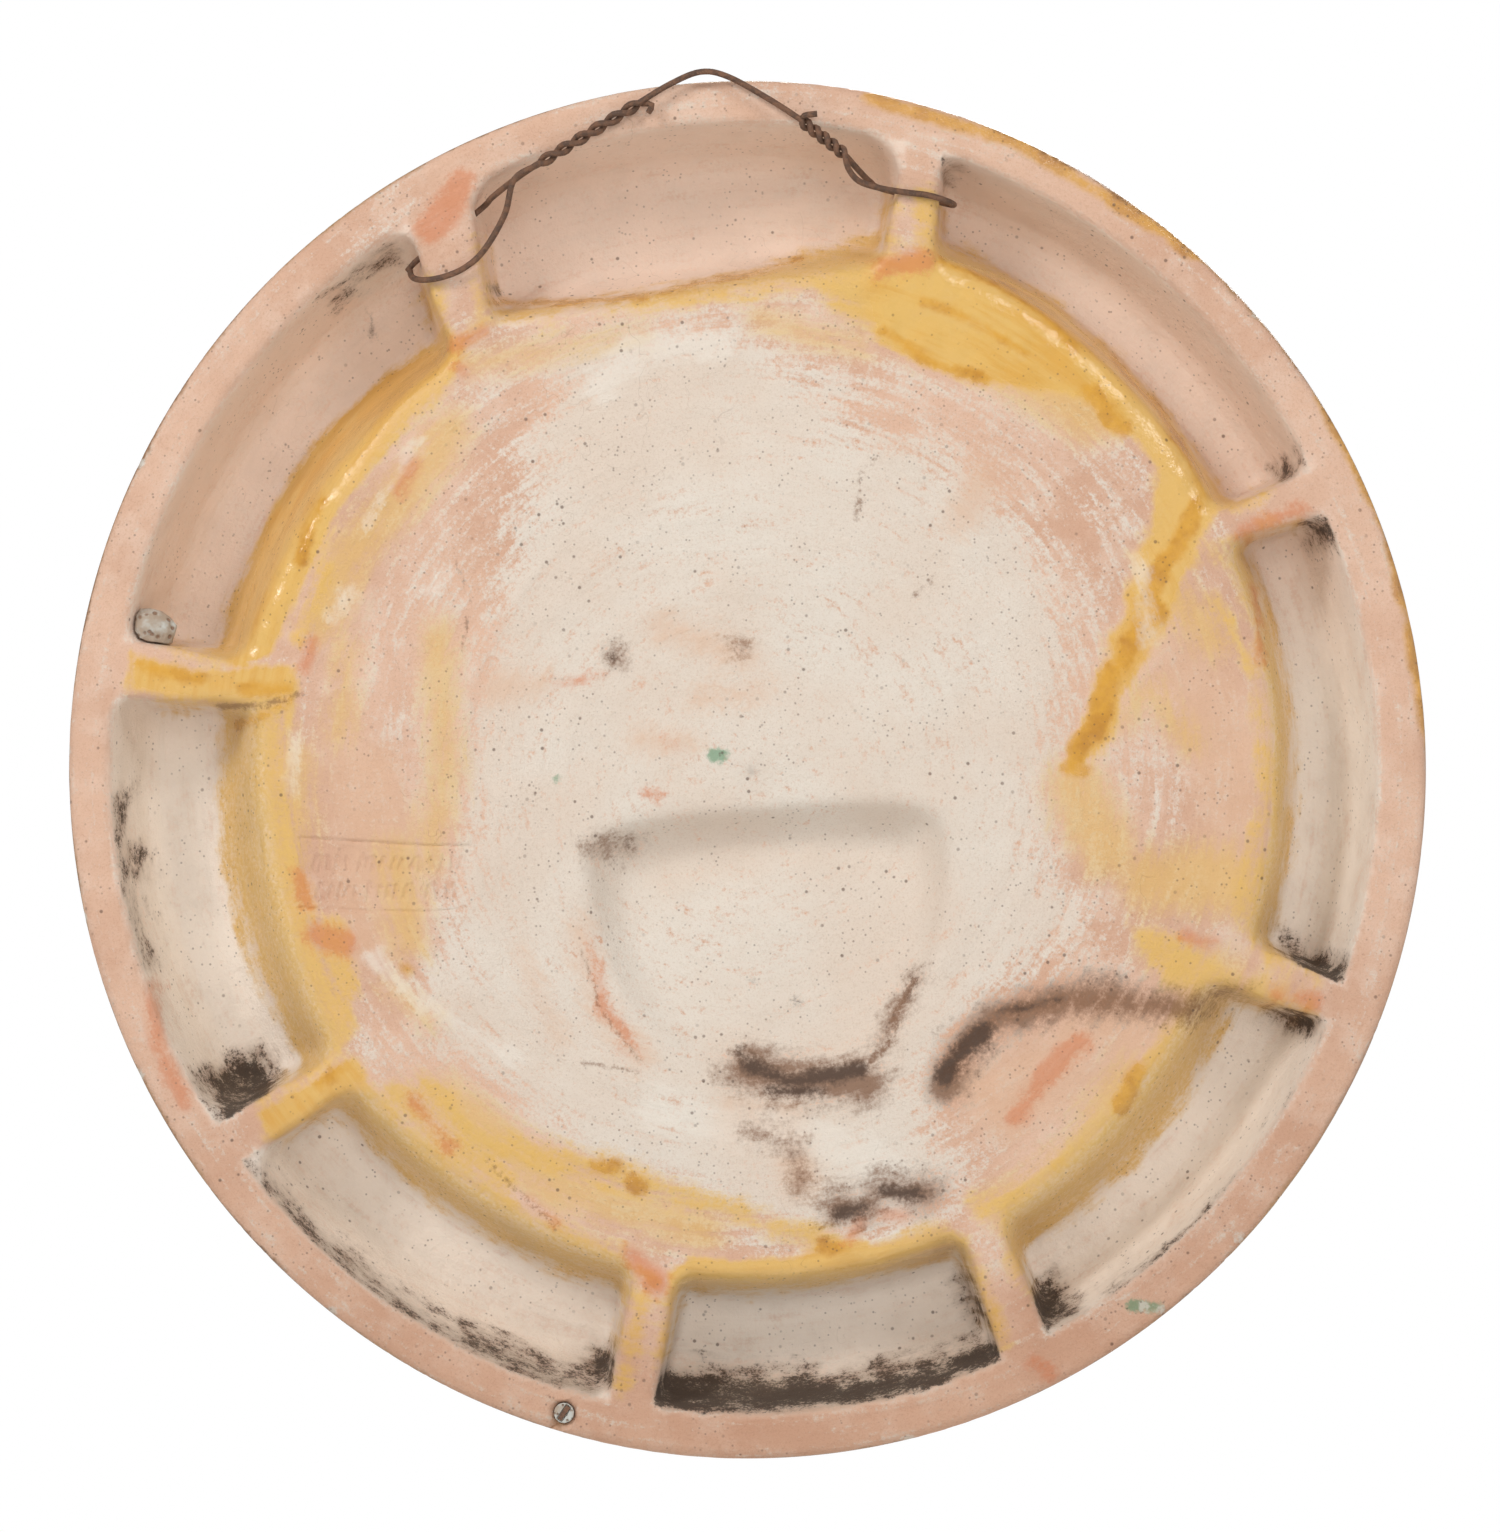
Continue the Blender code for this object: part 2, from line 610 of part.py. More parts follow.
def pin_block(name, margin, collection):
    """A flat bar at the pin's place, larger than the pin all round by a margin."""
    shape = bmesh.new()
    bmesh.ops.create_cube(shape, size=1.0)
    inset = OUTER_RADIUS - rim_radius(PLUG_CLOCK) + PLUG_FROM_EDGE
    turn = math.radians(PIN_TURN)
    on = Vector((math.cos(turn), 0.0, math.sin(turn)))
    side = Vector((-on.z, 0.0, on.x))
    near, far = -PIN_THICKNESS * (1 - PIN_SUNK_SHARE) - margin, PIN_THICKNESS * PIN_SUNK_SHARE + margin
    for vertex in shape.verts:
        x, y, z = vertex.co
        place = on * x * (PIN_LENGTH + 2 * margin) + side * z * (PIN_WIDTH + 2 * margin)
        vertex.co = on_plaque(PLUG_CLOCK, inset, near if y < 0 else far) + place
    return add_mesh(name, mesh_of(shape, name), collection)


def plaster_dab(plaque, collection, finish):
    """A lump of plaster in a pocket's corner, trimmed by the walls it sticks to, a gap away from them."""
    outward = at_radius(DAB_CLOCK, 1.0, 0.0) - CENTRE
    onward = Vector((outward.z, 0.0, -outward.x))
    shape = bmesh.new()
    bmesh.ops.create_uvsphere(shape, u_segments=10, v_segments=7, radius=0.5)
    centre = on_plaque(DAB_CLOCK, DAB_INSET, DAB_DEPTH)
    for vertex in shape.verts:
        x, y, z = vertex.co
        lump = 1 + DAB_UNEVEN * math.sin(9 * x + 2) * math.cos(7 * z + 1)
        vertex.co = centre + (onward * x * DAB_WIDTH + outward * z * DAB_LENGTH) * lump
        vertex.co.y += y * DAB_THICKNESS
    dab = add_mesh("plaster_dab", mesh_of(shape, "plaster_dab"), collection)
    boolean(dab, "DIFFERENCE", plaque)
    bpy.context.view_layer.update()
    applied(dab)
    away = (onward - outward) * PIECE_GAP * 1.5
    for vertex in dab.data.vertices:
        vertex.co += away
    dab.data.materials.clear()
    dab.data.materials.append(finish)


def main():
    clear_scene()
    parts = new_collection("majolica plaque")
    cutters = new_collection("cutters")
    clay = material("fired clay", (0.70, 0.50, 0.37), 0.85)
    plaster = material("old plaster", (0.50, 0.49, 0.46), 0.9)
    rust = material("rusty iron", (0.075, 0.035, 0.022), 0.6, 0.4)
    plaque = turned_body(parts, clay)
    for form in [bowl_form(cutters), *ring_clusters(cutters), *fruit_heap(cutters)]:
        boolean(plaque, "UNION", form)
    for pocket in POCKETS:
        boolean(plaque, "DIFFERENCE", pocket_cutter(pocket, cutters))
    boolean(plaque, "DIFFERENCE", hollow_cutter(cutters))
    for number in range(len(HOLES)):
        boolean(plaque, "DIFFERENCE", wire_hole(number, cutters))
    socket = plug_form("plug socket", PLUG_RADIUS + PIECE_GAP, -LID, PLUG_DEPTH + PIECE_GAP, cutters)
    boolean(plaque, "DIFFERENCE", as_cutter(socket))
    plug = plug_form("rim_plug", PLUG_RADIUS, -PIECE_GAP, PLUG_DEPTH, parts)
    plug.data.materials.append(plaster)
    boolean(plug, "DIFFERENCE", as_cutter(pin_block("pin slot", PIECE_GAP, cutters)))
    pin_block("rim_pin", 0.0, parts).data.materials.append(rust)
    hanging_wire(parts, rust)
    plaster_dab(plaque, parts, plaster)


main()
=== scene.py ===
"""Finish of a round majolica wall plaque, shown from its unglazed back, with its hanging wire.

The back looks towards -Y and the glazed relief towards +Y. Lengths in the code are in metres. A clock angle
is in degrees from the top, clockwise as seen from the back. A depth is measured from the flat back of the
rim towards the front. Paint is placed by pixels of the photographed back, which seen() turns into metres.
"""
import math
from collections import namedtuple

import bpy
import numpy as np
from mathutils import Color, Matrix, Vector


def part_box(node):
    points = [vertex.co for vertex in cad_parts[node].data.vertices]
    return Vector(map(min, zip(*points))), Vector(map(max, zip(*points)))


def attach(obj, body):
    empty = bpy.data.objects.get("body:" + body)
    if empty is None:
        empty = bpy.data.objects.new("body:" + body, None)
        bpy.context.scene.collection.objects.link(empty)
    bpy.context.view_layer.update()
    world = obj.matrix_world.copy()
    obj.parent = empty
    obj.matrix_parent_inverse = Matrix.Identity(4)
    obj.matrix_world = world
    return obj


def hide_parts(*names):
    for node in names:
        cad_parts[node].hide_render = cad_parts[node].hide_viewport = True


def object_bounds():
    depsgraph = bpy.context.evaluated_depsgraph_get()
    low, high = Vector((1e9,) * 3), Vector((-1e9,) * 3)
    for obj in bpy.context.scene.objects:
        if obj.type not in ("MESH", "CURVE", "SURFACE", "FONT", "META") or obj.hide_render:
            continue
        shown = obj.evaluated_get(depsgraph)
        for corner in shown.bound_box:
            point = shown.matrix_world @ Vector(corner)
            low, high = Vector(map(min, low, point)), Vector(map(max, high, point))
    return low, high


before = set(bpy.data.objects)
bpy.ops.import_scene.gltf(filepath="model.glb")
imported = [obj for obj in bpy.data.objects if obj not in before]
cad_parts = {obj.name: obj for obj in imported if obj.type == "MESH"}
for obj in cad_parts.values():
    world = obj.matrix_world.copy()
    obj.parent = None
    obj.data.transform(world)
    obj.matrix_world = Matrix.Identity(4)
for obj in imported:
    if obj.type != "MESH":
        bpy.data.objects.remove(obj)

bl_info = {
    "name": "Majolica plaque",
    "version": (1, 0, 0),
    "blender": (4, 5, 0),
    "location": "View3D > Sidebar > Plaque",
    "description": "Finishes a round majolica wall plaque and its hanging wire",
    "category": "Object",
}

CAD_BOX = [list(corner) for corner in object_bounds()]
PLAQUE_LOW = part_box("plaque")[0]

# The photograph's frame: its size, the plaque's centre in it, the length of a pixel on the rim's back, and
# how far the plaque is turned in it, anticlockwise
PHOTO_WIDTH, PHOTO_HEIGHT = 1500, 1532
PHOTO_CENTRE = (751.5, 771.5)
PIXEL = 0.0003408
PHOTO_TURN = math.radians(4.2)

# The plaque's form, as the solids have it
CENTRE = Vector((0.0, PLAQUE_LOW.y, -0.2375))
OUTER_RADIUS = 0.2331
TALLER_BY = 0.0018
LEANS_RIGHT = -0.0013
LEANS_UP = 0.0007
DISC_RECESS = 0.0025
DISC_THICKNESS = 0.014
SIDE_DEPTH = 0.030
SIDE_FLARE = 0.0014
STRUT_TOP_INSET = 0.0301
STRUT_FOOT_INSET = 0.0681
POCKET_DEPTH = 0.036
POCKET_WALL = 0.0115
WALL_LEAN = 0.009
FLOOR_EDGE = 0.005
STRUT_DRAFT = 0.08
FLOOR_FILLET = 0.007
SHOULDER_FILLET = 0.006
SHOULDER_REACH = 0.012
SHOULDER_SINK = 0.0006
TOOL_MARKS = 46
RING_CREST = POCKET_DEPTH + POCKET_WALL
FIELD_DEPTH = DISC_RECESS + DISC_THICKNESS

# Each pocket: the clock angle of its start at its outer wall and at its crest, the same for its end, the
# width of rim outside it, then start, middle and end values of the inset where its floor ends and of
# the inset where its inner slope meets the disc, and the radii of its two outer corners
Pocket = namedtuple("Pocket", "name start end rim floor crest corners")
POCKETS = (
    Pocket("top", (-21.4, -26.8), (18.0, 18.6), 0.0140,
           (0.0461, 0.0581, 0.0451), (0.0581, 0.0701, 0.0551), (0.008, 0.014)),
    Pocket("upper_right", (21.4, 24.0), (66.0, 65.2), 0.0135,
           (0.0371, 0.0411, 0.0431), (0.0481, 0.0501, 0.0521), (0.007, 0.009)),
    Pocket("right", (70.0, 68.7), (114.0, 113.0), 0.0165,
           (0.0441, 0.0441, 0.0441), (0.0541, 0.0541, 0.0541), (0.005, 0.005)),
    Pocket("lower_right", (117.4, 119.0), (156.5, 154.8), 0.0160,
           (0.0491, 0.0451, 0.0441), (0.0631, 0.0621, 0.0591), (0.005, 0.006)),
    Pocket("bottom", (161.2, 160.0), (193.0, 192.3), 0.0155,
           (0.0511, 0.0501, 0.0511), (0.0611, 0.0611, 0.0611), (0.004, 0.005)),
    Pocket("lower_left", (197.0, 197.8), (236.8, 235.6), 0.0142,
           (0.0461, 0.0461, 0.0461), (0.0611, 0.0621, 0.0621), (0.006, 0.014)),
    Pocket("left", (240.8, 240.2), (280.8, 281.6), 0.0140,
           (0.0481, 0.0471, 0.0481), (0.0631, 0.0681, 0.0651), (0.014, 0.006)),
    Pocket("upper_left", (286.0, 286.8), (332.2, 328.2), 0.0145,
           (0.0451, 0.0461, 0.0511), (0.0571, 0.0611, 0.0591), (0.006, 0.009)),
)

HOLLOW_CENTRE_X = 0.0035
HOLLOW_BROW_Z = -0.032
HOLLOW_HALF_WIDTH = 0.061
HOLLOW_RISE = 0.018
HOLLOW_DROP = 0.077
HOLLOW_TOP_DEPTH = 0.0165
HOLLOW_FOOT_DEPTH = 0.0035
HOLLOW_RINGS = ((-0.003, 0.0), (0.0, 0.10), (0.004, 0.55), (0.009, 0.90), (0.0145, 1.0))
BOWL_WALL = 0.013
BOWL_TOP_INSET = 0.010

BEAD_HEIGHT = 0.005
RING_WIDTH = 0.0641
RING_SHOULDER_INSET = 0.0185
RING_FLAT = 0.009
FIELD_INSET = 0.0821
FIELD_DISH = 0.002
CLUSTERS = 8
CLUSTER_START = 4.0
CLUSTER_RADIUS = OUTER_RADIUS - 0.0371
FRUIT_RADIUS = 0.0165
FRUIT_STRETCH = 1.07
FRUIT_TURN = 25.0
LEAF_LENGTH = 0.046
LEAF_WIDTH = 0.021
LEAF_THICKNESS = 0.006
LEAF_SUNK = 0.0006
LEAF_OFFSET = 0.0359
LEAF_STEP = 0.003
LEAF_SLANT = 0.25
HEAP_ROWS = (3, 2, 1)
HEAP_FRUIT_RADIUS = 0.0215
HEAP_SHRINK = 0.06
HEAP_PITCH = 0.036
HEAP_ROW_RISE = 0.0331
HEAP_BASE_Z = -0.010
HEAP_LEAF_TURNS = (84.0, 40.0)
HEAP_LEAF_RISE = 0.020
HEAP_LEAF_REACH = 0.068
HEAP_LEAF_STEP = 0.004
HEAP_LEAF_LENGTH = 0.0506

# The wire, the plug and its pin, and the dab of plaster
WIRE_STAND_OFF = CENTRE.y
WIRE_RISE = 0.0055
HOLE_DEPTH = 0.0085
HOLE_DIAMETER = 0.005
TWIST_STEPS = 10
STRAND_SPACING = 0.0026
HOLES = (((-29.3, 0.0243), (-21.6, 0.0197)), ((17.0, 0.0289), (23.0, 0.0278)))
LEFT_TWIST = ((-15.1, 0.0141), (-5.4, 0.0026), 3.0)
RIGHT_TWIST = ((8.6, 0.0111), (12.8, 0.0208), 2.5)
LEFT_END = ((-4.7, 0.0063, -0.0048), (-4.3, 0.0039, -0.0056))
LEFT_LOOP = (
    (-17.6, 0.0160, -0.0040), (-19.7, 0.0257, -0.0026), (-22.9, 0.0335, -0.0021), (-25.4, 0.0357, -0.0021),
    (-27.6, 0.0348, -0.0020), (-29.3, 0.0323, -0.0012), (-30.2, 0.0291, 0.0028), (-30.1, 0.0261, 0.0068),
)
LEFT_CLIMB = ((-20.2, 0.0181, 0.0045), (-17.9, 0.0161, 0.0005))
APEX = (
    (-2.6, -0.0023, -WIRE_STAND_OFF), (0.0, -WIRE_RISE, -WIRE_STAND_OFF), (2.2, -0.0035, -WIRE_STAND_OFF),
    (5.6, 0.0041, -WIRE_STAND_OFF),
)
RIGHT_FALL = ((14.2, 0.0246, 0.0010), (15.6, 0.0276, 0.0060))
RIGHT_HOOK = (
    (23.7, 0.0277, 0.0062), (23.8, 0.0277, 0.0022), (23.0, 0.0277, -0.0014), (21.2, 0.0279, -0.0021),
    (19.0, 0.0291, -0.0021), (16.6, 0.0297, -0.0024), (14.5, 0.0289, -0.0036), (13.3, 0.0253, -0.0050),
)
RIGHT_END = ((8.8, 0.0095, -0.0062), (9.9, 0.0085, -0.0066))
PIECE_GAP = 0.0003
PLUG_CLOCK = 200.5
PLUG_RADIUS = 0.0035
PLUG_DEPTH = 0.004
PLUG_FROM_EDGE = 0.0065
DAB_PITS = 34

# Grid of the height maps
GRID_STEP = 0.0005
GRID_CELLS = 487

# The stage: the camera's distance and sensor, the floor, the light of the surround on the plaque, and the
# lights, each by its name, place, size and power, and whether glossy surfaces show it
CAMERA_DISTANCE = 2.2
SENSOR = 36.0
FLOOR_SIZE = (9.0, 5.9, 1.0)
FLOOR_PLACE = (0.0, -2.27, -0.62)
SURROUND_LIGHT = 0.44
LIGHTS = (
    ("upper left light", (-1.15, -1.25, 1.05), 0.5, 18.0, True),
    ("upper right light", (1.25, -1.35, 1.00), 0.5, 9.0, True),
    ("light behind the camera", (0.15, -2.60, 0.35), 1.0, 17.5, False),
    ("front light", (0.6, 1.9, 0.9), 1.0, 26.0, True),
)


def seen(u, v):
    """Metres right of and above the plaque's centre, for a pixel of the photographed back."""
    right, up = (u - PHOTO_CENTRE[0]) * PIXEL, (PHOTO_CENTRE[1] - v) * PIXEL
    cos, sin = math.cos(PHOTO_TURN), math.sin(PHOTO_TURN)
    return right * cos + up * sin, up * cos - right * sin


def rim_radius(clock):
    """The outline's radius, for an array of clock angles."""
    angle = np.radians(clock)
    leaning = LEANS_RIGHT * np.sin(angle) + LEANS_UP * np.cos(angle)
    return OUTER_RADIUS + TALLER_BY * np.cos(2 * angle) + leaning


def on_plaque(clock, inset, depth):
    """A point by its clock angle, its inset from the mean outline and its depth."""
    angle, radius = math.radians(clock), OUTER_RADIUS - inset
    return CENTRE + Vector((radius * math.sin(angle), depth, radius * math.cos(angle)))


def step_up(value, low, high):
    """0 below low and 1 above high, with a smooth rise between."""
    share = np.clip((value - low) / (high - low), 0.0, 1.0)
    return share * share * (3 - 2 * share)


class Grid:
    """Square maps round the plaque's centre, by metres right of it and above it."""

    def __init__(self):
        line = np.arange(-GRID_CELLS, GRID_CELLS + 1) * GRID_STEP
        self.x, self.z = np.meshgrid(line, line, indexing="ij")
        self.radius = np.hypot(self.x, self.z)
        self.clock = np.degrees(np.arctan2(self.x, self.z))
        side = len(line)
        along, across = np.fft.fftfreq(side)[:, None], np.fft.rfftfreq(side)[None, :]
        self.frequency = np.sqrt(along ** 2 + across ** 2) / GRID_STEP
        self.side = side

    def blur(self, field, reach):
        """The field with features finer than about reach metres smoothed away."""
        soften = np.exp(-2 * (math.pi * self.frequency * reach) ** 2)
        return np.fft.irfft2(np.fft.rfft2(field) * soften, s=field.shape)

    def cloud(self, reach, seed):
        """Random hills of about reach metres, with a spread of one."""
        noise = np.random.default_rng(seed).standard_normal((self.side, self.side))
        field = self.blur(noise, reach)
        return field / field.std()

    def read(self, field, x, z):
        """The field's values at places between its cells."""
        i = np.clip(x / GRID_STEP + GRID_CELLS, 0, self.side - 1.001)
        j = np.clip(z / GRID_STEP + GRID_CELLS, 0, self.side - 1.001)
        i0, j0 = i.astype(int), j.astype(int)
        fi, fj = i - i0, j - j0
        low = field[i0, j0] * (1 - fj) + field[i0, j0 + 1] * fj
        high = field[i0 + 1, j0] * (1 - fj) + field[i0 + 1, j0 + 1] * fj
        return low * (1 - fi) + high * fi


GRID = Grid()


def within(inside, knots):
    """Straight runs between knots of falling radius, each a pair of arrays: radius and depth."""
    depth = np.zeros_like(inside)
    for (near, near_depth), (far, far_depth) in zip(knots, knots[1:]):
        share = (near - inside) / np.maximum(near - far, 1e-6)
        run = (inside <= near) & (inside > far)
        depth = np.where(run, near_depth + (far_depth - near_depth) * share, depth)
    return depth


def along(values, share):
    """A curve through start, middle and end values."""
    start, middle, end = values
    rest = 1 - share
    return start * rest * (rest - share) + 4 * middle * share * rest + end * share * (share - rest)


def rounding(distance, radius):
    """How far a round corner stands in from its wall at a distance along it."""
    left = np.clip(radius - distance, 0.0, radius)
    return radius - np.sqrt(radius ** 2 - left ** 2)


def pocket_place(pocket, clock, radius):
    """Share of the way along a pocket, its length, and its floor's and crest's radii there."""
    middle = (sum(pocket.start) + sum(pocket.end)) / 4
    wall = float(rim_radius(middle)) - pocket.rim
    shoulder = OUTER_RADIUS - float(along(pocket.crest, 0.5))
    inward = np.clip((wall - radius) / (wall - shoulder), 0.0, 1.0)
    start = pocket.start[0] + (pocket.start[1] - pocket.start[0]) * inward
    end = pocket.end[0] + (pocket.end[1] - pocket.end[0]) * inward
    turn = (clock - middle + 180.0) % 360.0 - 180.0 + middle
    share = (turn - start) / (end - start)
    length = math.radians(sum(pocket.end) - sum(pocket.start)) / 2 * (wall + shoulder) / 2
    held = np.clip(share, 0.0, 1.0)
    ease = rounding(np.minimum(held, 1 - held) * length, SHOULDER_FILLET)
    floor = OUTER_RADIUS - along(pocket.floor, held) + ease
    crest = OUTER_RADIUS - along(pocket.crest, held) + ease
    return share, length, floor, crest


def pocket_depth(pocket):
    """Depth of one pocket over the grid, 0 outside it."""
    share, length, floor, crest = pocket_place(pocket, GRID.clock, GRID.radius)
    place, back = share * length, (1 - share) * length
    pull = rounding(place, pocket.corners[0]) + rounding(back, pocket.corners[1])
    outer = rim_radius(GRID.clock) - pocket.rim - pull
    deep = POCKET_DEPTH - rounding(np.minimum(place, back), FLOOR_FILLET)
    slope = floor - crest
    section = within(GRID.radius, [
        (outer, 0.0 * deep),
        (outer - WALL_LEAN * 0.45, deep * 0.5),
        (outer - WALL_LEAN, deep * 0.86),
        (outer - WALL_LEAN - FLOOR_EDGE, deep),
        (floor + FLOOR_EDGE, deep),
        (floor, deep * 0.93),
        (floor - slope * 0.35, deep * 0.68),
        (floor - slope * 0.60, deep * 0.36),
        (floor - slope * 0.80, deep * 0.15),
        (crest, 0.0 * deep + DISC_RECESS + SHOULDER_SINK),
        (crest - SHOULDER_REACH, 0.0 * deep),
    ])
    walls = np.minimum(place, back) / STRUT_DRAFT
    return np.where((share > 0) & (share < 1), np.maximum(np.minimum(section, walls), 0.0), 0.0)


def hollow_inset(x, z):
    """How far in from the D-shaped hollow's outline each place lies, found by halving."""
    across, up = np.abs(x - HOLLOW_CENTRE_X), z - HOLLOW_BROW_Z
    reach = np.where(up > 0, HOLLOW_RISE, HOLLOW_DROP)
    power = np.where(up > 0, 4.0, 2.0)
    low, high = np.full_like(x, -0.4), np.minimum(HOLLOW_HALF_WIDTH, reach) - 1e-5
    for _ in range(16):
        middle = (low + high) / 2
        spread = (across / (HOLLOW_HALF_WIDTH - middle)) ** power + (np.abs(up) / (reach - middle)) ** power
        low, high = np.where(spread < 1, middle, low), np.where(spread < 1, high, middle)
    return low


def hollow_full(z):
    """Depth of the hollow's floor, from its brow down to its foot."""
    up = z - HOLLOW_BROW_Z
    fall = np.clip((HOLLOW_RISE - up) / (HOLLOW_RISE + HOLLOW_DROP), 0.0, 1.0)
    return HOLLOW_TOP_DEPTH + (HOLLOW_FOOT_DEPTH - HOLLOW_TOP_DEPTH) * fall


def run(*numbers):
    """Places of photo pixels, given as one row of numbers."""
    return [seen(*point) for point in zip(numbers[::2], numbers[1::2])]


def strokes(*rows):
    """Strokes of the brush: each a width in millimetres, then the photo pixels that it runs through."""
    return [(run(*row[1:]), row[0]) for row in rows]


def polar(*points):
    """Places of clock angles and radii in millimetres."""
    return [(r / 1000 * math.sin(math.radians(c)), r / 1000 * math.cos(math.radians(c))) for c, r in points]


def stroke(places, width):
    """Signed distance over the grid to a stroke of a width in millimetres, positive inside it."""
    best = np.full_like(GRID.x, 1.0)
    for (ax, az), (bx, bz) in zip(places, places[1:] or places):
        dx, dz = bx - ax, bz - az
        length = max(dx * dx + dz * dz, 1e-12)
        share = np.clip(((GRID.x - ax) * dx + (GRID.z - az) * dz) / length, 0.0, 1.0)
        best = np.minimum(best, np.hypot(GRID.x - ax - share * dx, GRID.z - az - share * dz))
    return width / 2000 - best


def patch(places):
    """Signed distance over the grid to an outline, positive inside it."""
    near = -stroke(places + places[:1], 0.0)
    inside = np.zeros(GRID.x.shape, bool)
    for (ax, az), (bx, bz) in zip(places, places[1:] + places[:1]):
        crosses = (az > GRID.z) != (bz > GRID.z)
        at = ax + (GRID.z - az) * (bx - ax) / (bz - az if bz != az else 1e-9)
        inside ^= crosses & (GRID.x < at)
    return np.where(inside, near, -near)


def band(start, end, inner, outer):
    """Signed distance over the grid to a piece of a ring, radii in millimetres, positive inside it."""
    middle, half = (start + end) / 2, math.radians(end - start) / 2
    off = np.abs(np.radians((GRID.clock - middle + 180.0) % 360.0 - 180.0))
    across = np.minimum(GRID.radius - inner / 1000, outer / 1000 - GRID.radius)
    return np.minimum(across, (half - off) * GRID.radius)


def most(fields):
    return np.maximum.reduce(list(fields))


def soft(distance, reach):
    """0 outside and 1 inside, rising over reach millimetres either side of the edge."""
    return step_up(distance, -reach / 1000, reach / 1000)


def back_depth():
    """Depth of the back's surface, with its pockets and its hollow."""
    scaled = GRID.radius * OUTER_RADIUS / rim_radius(GRID.clock)
    foot, top = OUTER_RADIUS - STRUT_FOOT_INSET, OUTER_RADIUS - STRUT_TOP_INSET
    depth = np.interp(
        scaled, [0, foot * 0.6, foot, (foot + top) / 2, top],
        [DISC_RECESS, DISC_RECESS, DISC_RECESS * 0.96, DISC_RECESS * 0.35, 0.0]
    )
    for pocket in POCKETS:
        depth = np.maximum(depth, pocket_depth(pocket))
    inset = hollow_inset(GRID.x, GRID.z)
    insets, shares = zip(*HOLLOW_RINGS)
    share = np.interp(inset, insets, shares)
    hollow = np.where(inset > insets[0], DISC_RECESS + hollow_full(GRID.z) * share, 0.0)
    depth = np.maximum(depth, hollow)
    sharp, gentle = GRID.blur(depth, 0.0008), GRID.blur(depth, 0.0017)
    share = step_up(GRID.radius, 0.180, 0.196)
    return gentle + (sharp - gentle) * share


def fruit_height(x, z, centre, radius, turn):
    """Height of a fruit over its middle, -1 outside it, and a share that falls from its stalk's end."""
    turn = math.radians(turn)
    dx, dz = x - centre[0], z - centre[1]
    on = (dx * math.sin(turn) + dz * math.cos(turn)) / (radius * FRUIT_STRETCH)
    across = (dx * math.cos(turn) - dz * math.sin(turn)) / radius
    spread = on ** 2 + across ** 2
    dimple = 0.10 * np.exp(-((on - 0.45) ** 2 + across ** 2) / 0.02)
    crease = 0.03 * np.exp(-(across / 0.05) ** 2) * np.clip(1 - spread, 0, 1)
    height = radius * (np.sqrt(np.clip(1 - spread, 0, 1)) - dimple - crease)
    return np.where(spread < 1, height, -1.0), on


def leaf_height(x, z, centre, clock, length):
    """Height of a leaf over its middle, with a raised midrib and slanting veins, -1 outside it."""
    turn = math.radians(clock)
    dx, dz = x - centre[0], z - centre[1]
    on = (dx * math.sin(turn) + dz * math.cos(turn)) / (length / 2)
    narrow = (1 - 0.4 * np.abs(on)) * np.sqrt(np.clip(1 - on ** 2, 1e-6, 1))
    across = (dx * math.cos(turn) - dz * math.sin(turn)) / (LEAF_WIDTH / 2 * narrow)
    body = 1 - np.abs(across) ** 1.6
    vein = 0.10 * np.exp(-(across / 0.10) ** 2) + 0.05 * np.cos(34 * (on - 0.35 * np.abs(across)))
    height = LEAF_THICKNESS * (body * 0.82 + vein * body) * np.sqrt(np.clip(1 - on ** 2, 0, 1))
    return np.where((np.abs(on) < 1) & (np.abs(across) < 1), height, -1.0)


def ring_place(clock, radius):
    angle = math.radians(clock)
    return radius * math.sin(angle), radius * math.cos(angle)


def garland():
    """Fruit and leaves of the front: kind, place, size, turn in degrees, depth of the middle."""
    made = []
    for k in range(CLUSTERS):
        clock = CLUSTER_START + 360.0 * k / CLUSTERS
        depth = RING_CREST - FRUIT_RADIUS * 0.3
        made.append(("fruit", ring_place(clock, CLUSTER_RADIUS), FRUIT_RADIUS, clock + FRUIT_TURN, depth))
        for way in (-1.0, 1.0):
            place = clock + way * math.degrees(LEAF_OFFSET / CLUSTER_RADIUS)
            turn = clock + way * math.degrees(math.atan2(1.0, LEAF_SLANT))
            centre = ring_place(place, CLUSTER_RADIUS - way * LEAF_STEP)
            made.append(("leaf", centre, LEAF_LENGTH, turn, RING_CREST - LEAF_SUNK))
    for row, count in enumerate(HEAP_ROWS):
        for k in range(count):
            size = HEAP_FRUIT_RADIUS * (1.0 - HEAP_SHRINK * row)
            centre = (HOLLOW_CENTRE_X + (k - (count - 1) / 2) * HEAP_PITCH, HEAP_BASE_Z + row * HEAP_ROW_RISE)
            made.append(("fruit", centre, size, 67.0 * k + 31.0 * row + 11.0, FIELD_DEPTH + size * 0.45))
    stem = (HOLLOW_CENTRE_X, HEAP_BASE_Z + HEAP_LEAF_RISE)
    for way in (-1.0, 1.0):
        for k, turn in enumerate(HEAP_LEAF_TURNS):
            reach = HEAP_LEAF_REACH + HEAP_LEAF_STEP * k
            out = ring_place(way * turn, reach)
            centre = (stem[0] + out[0], stem[1] + out[1])
            made.append(("leaf", centre, HEAP_LEAF_LENGTH, way * turn, FIELD_DEPTH + FIELD_DISH - LEAF_SUNK))
    return made


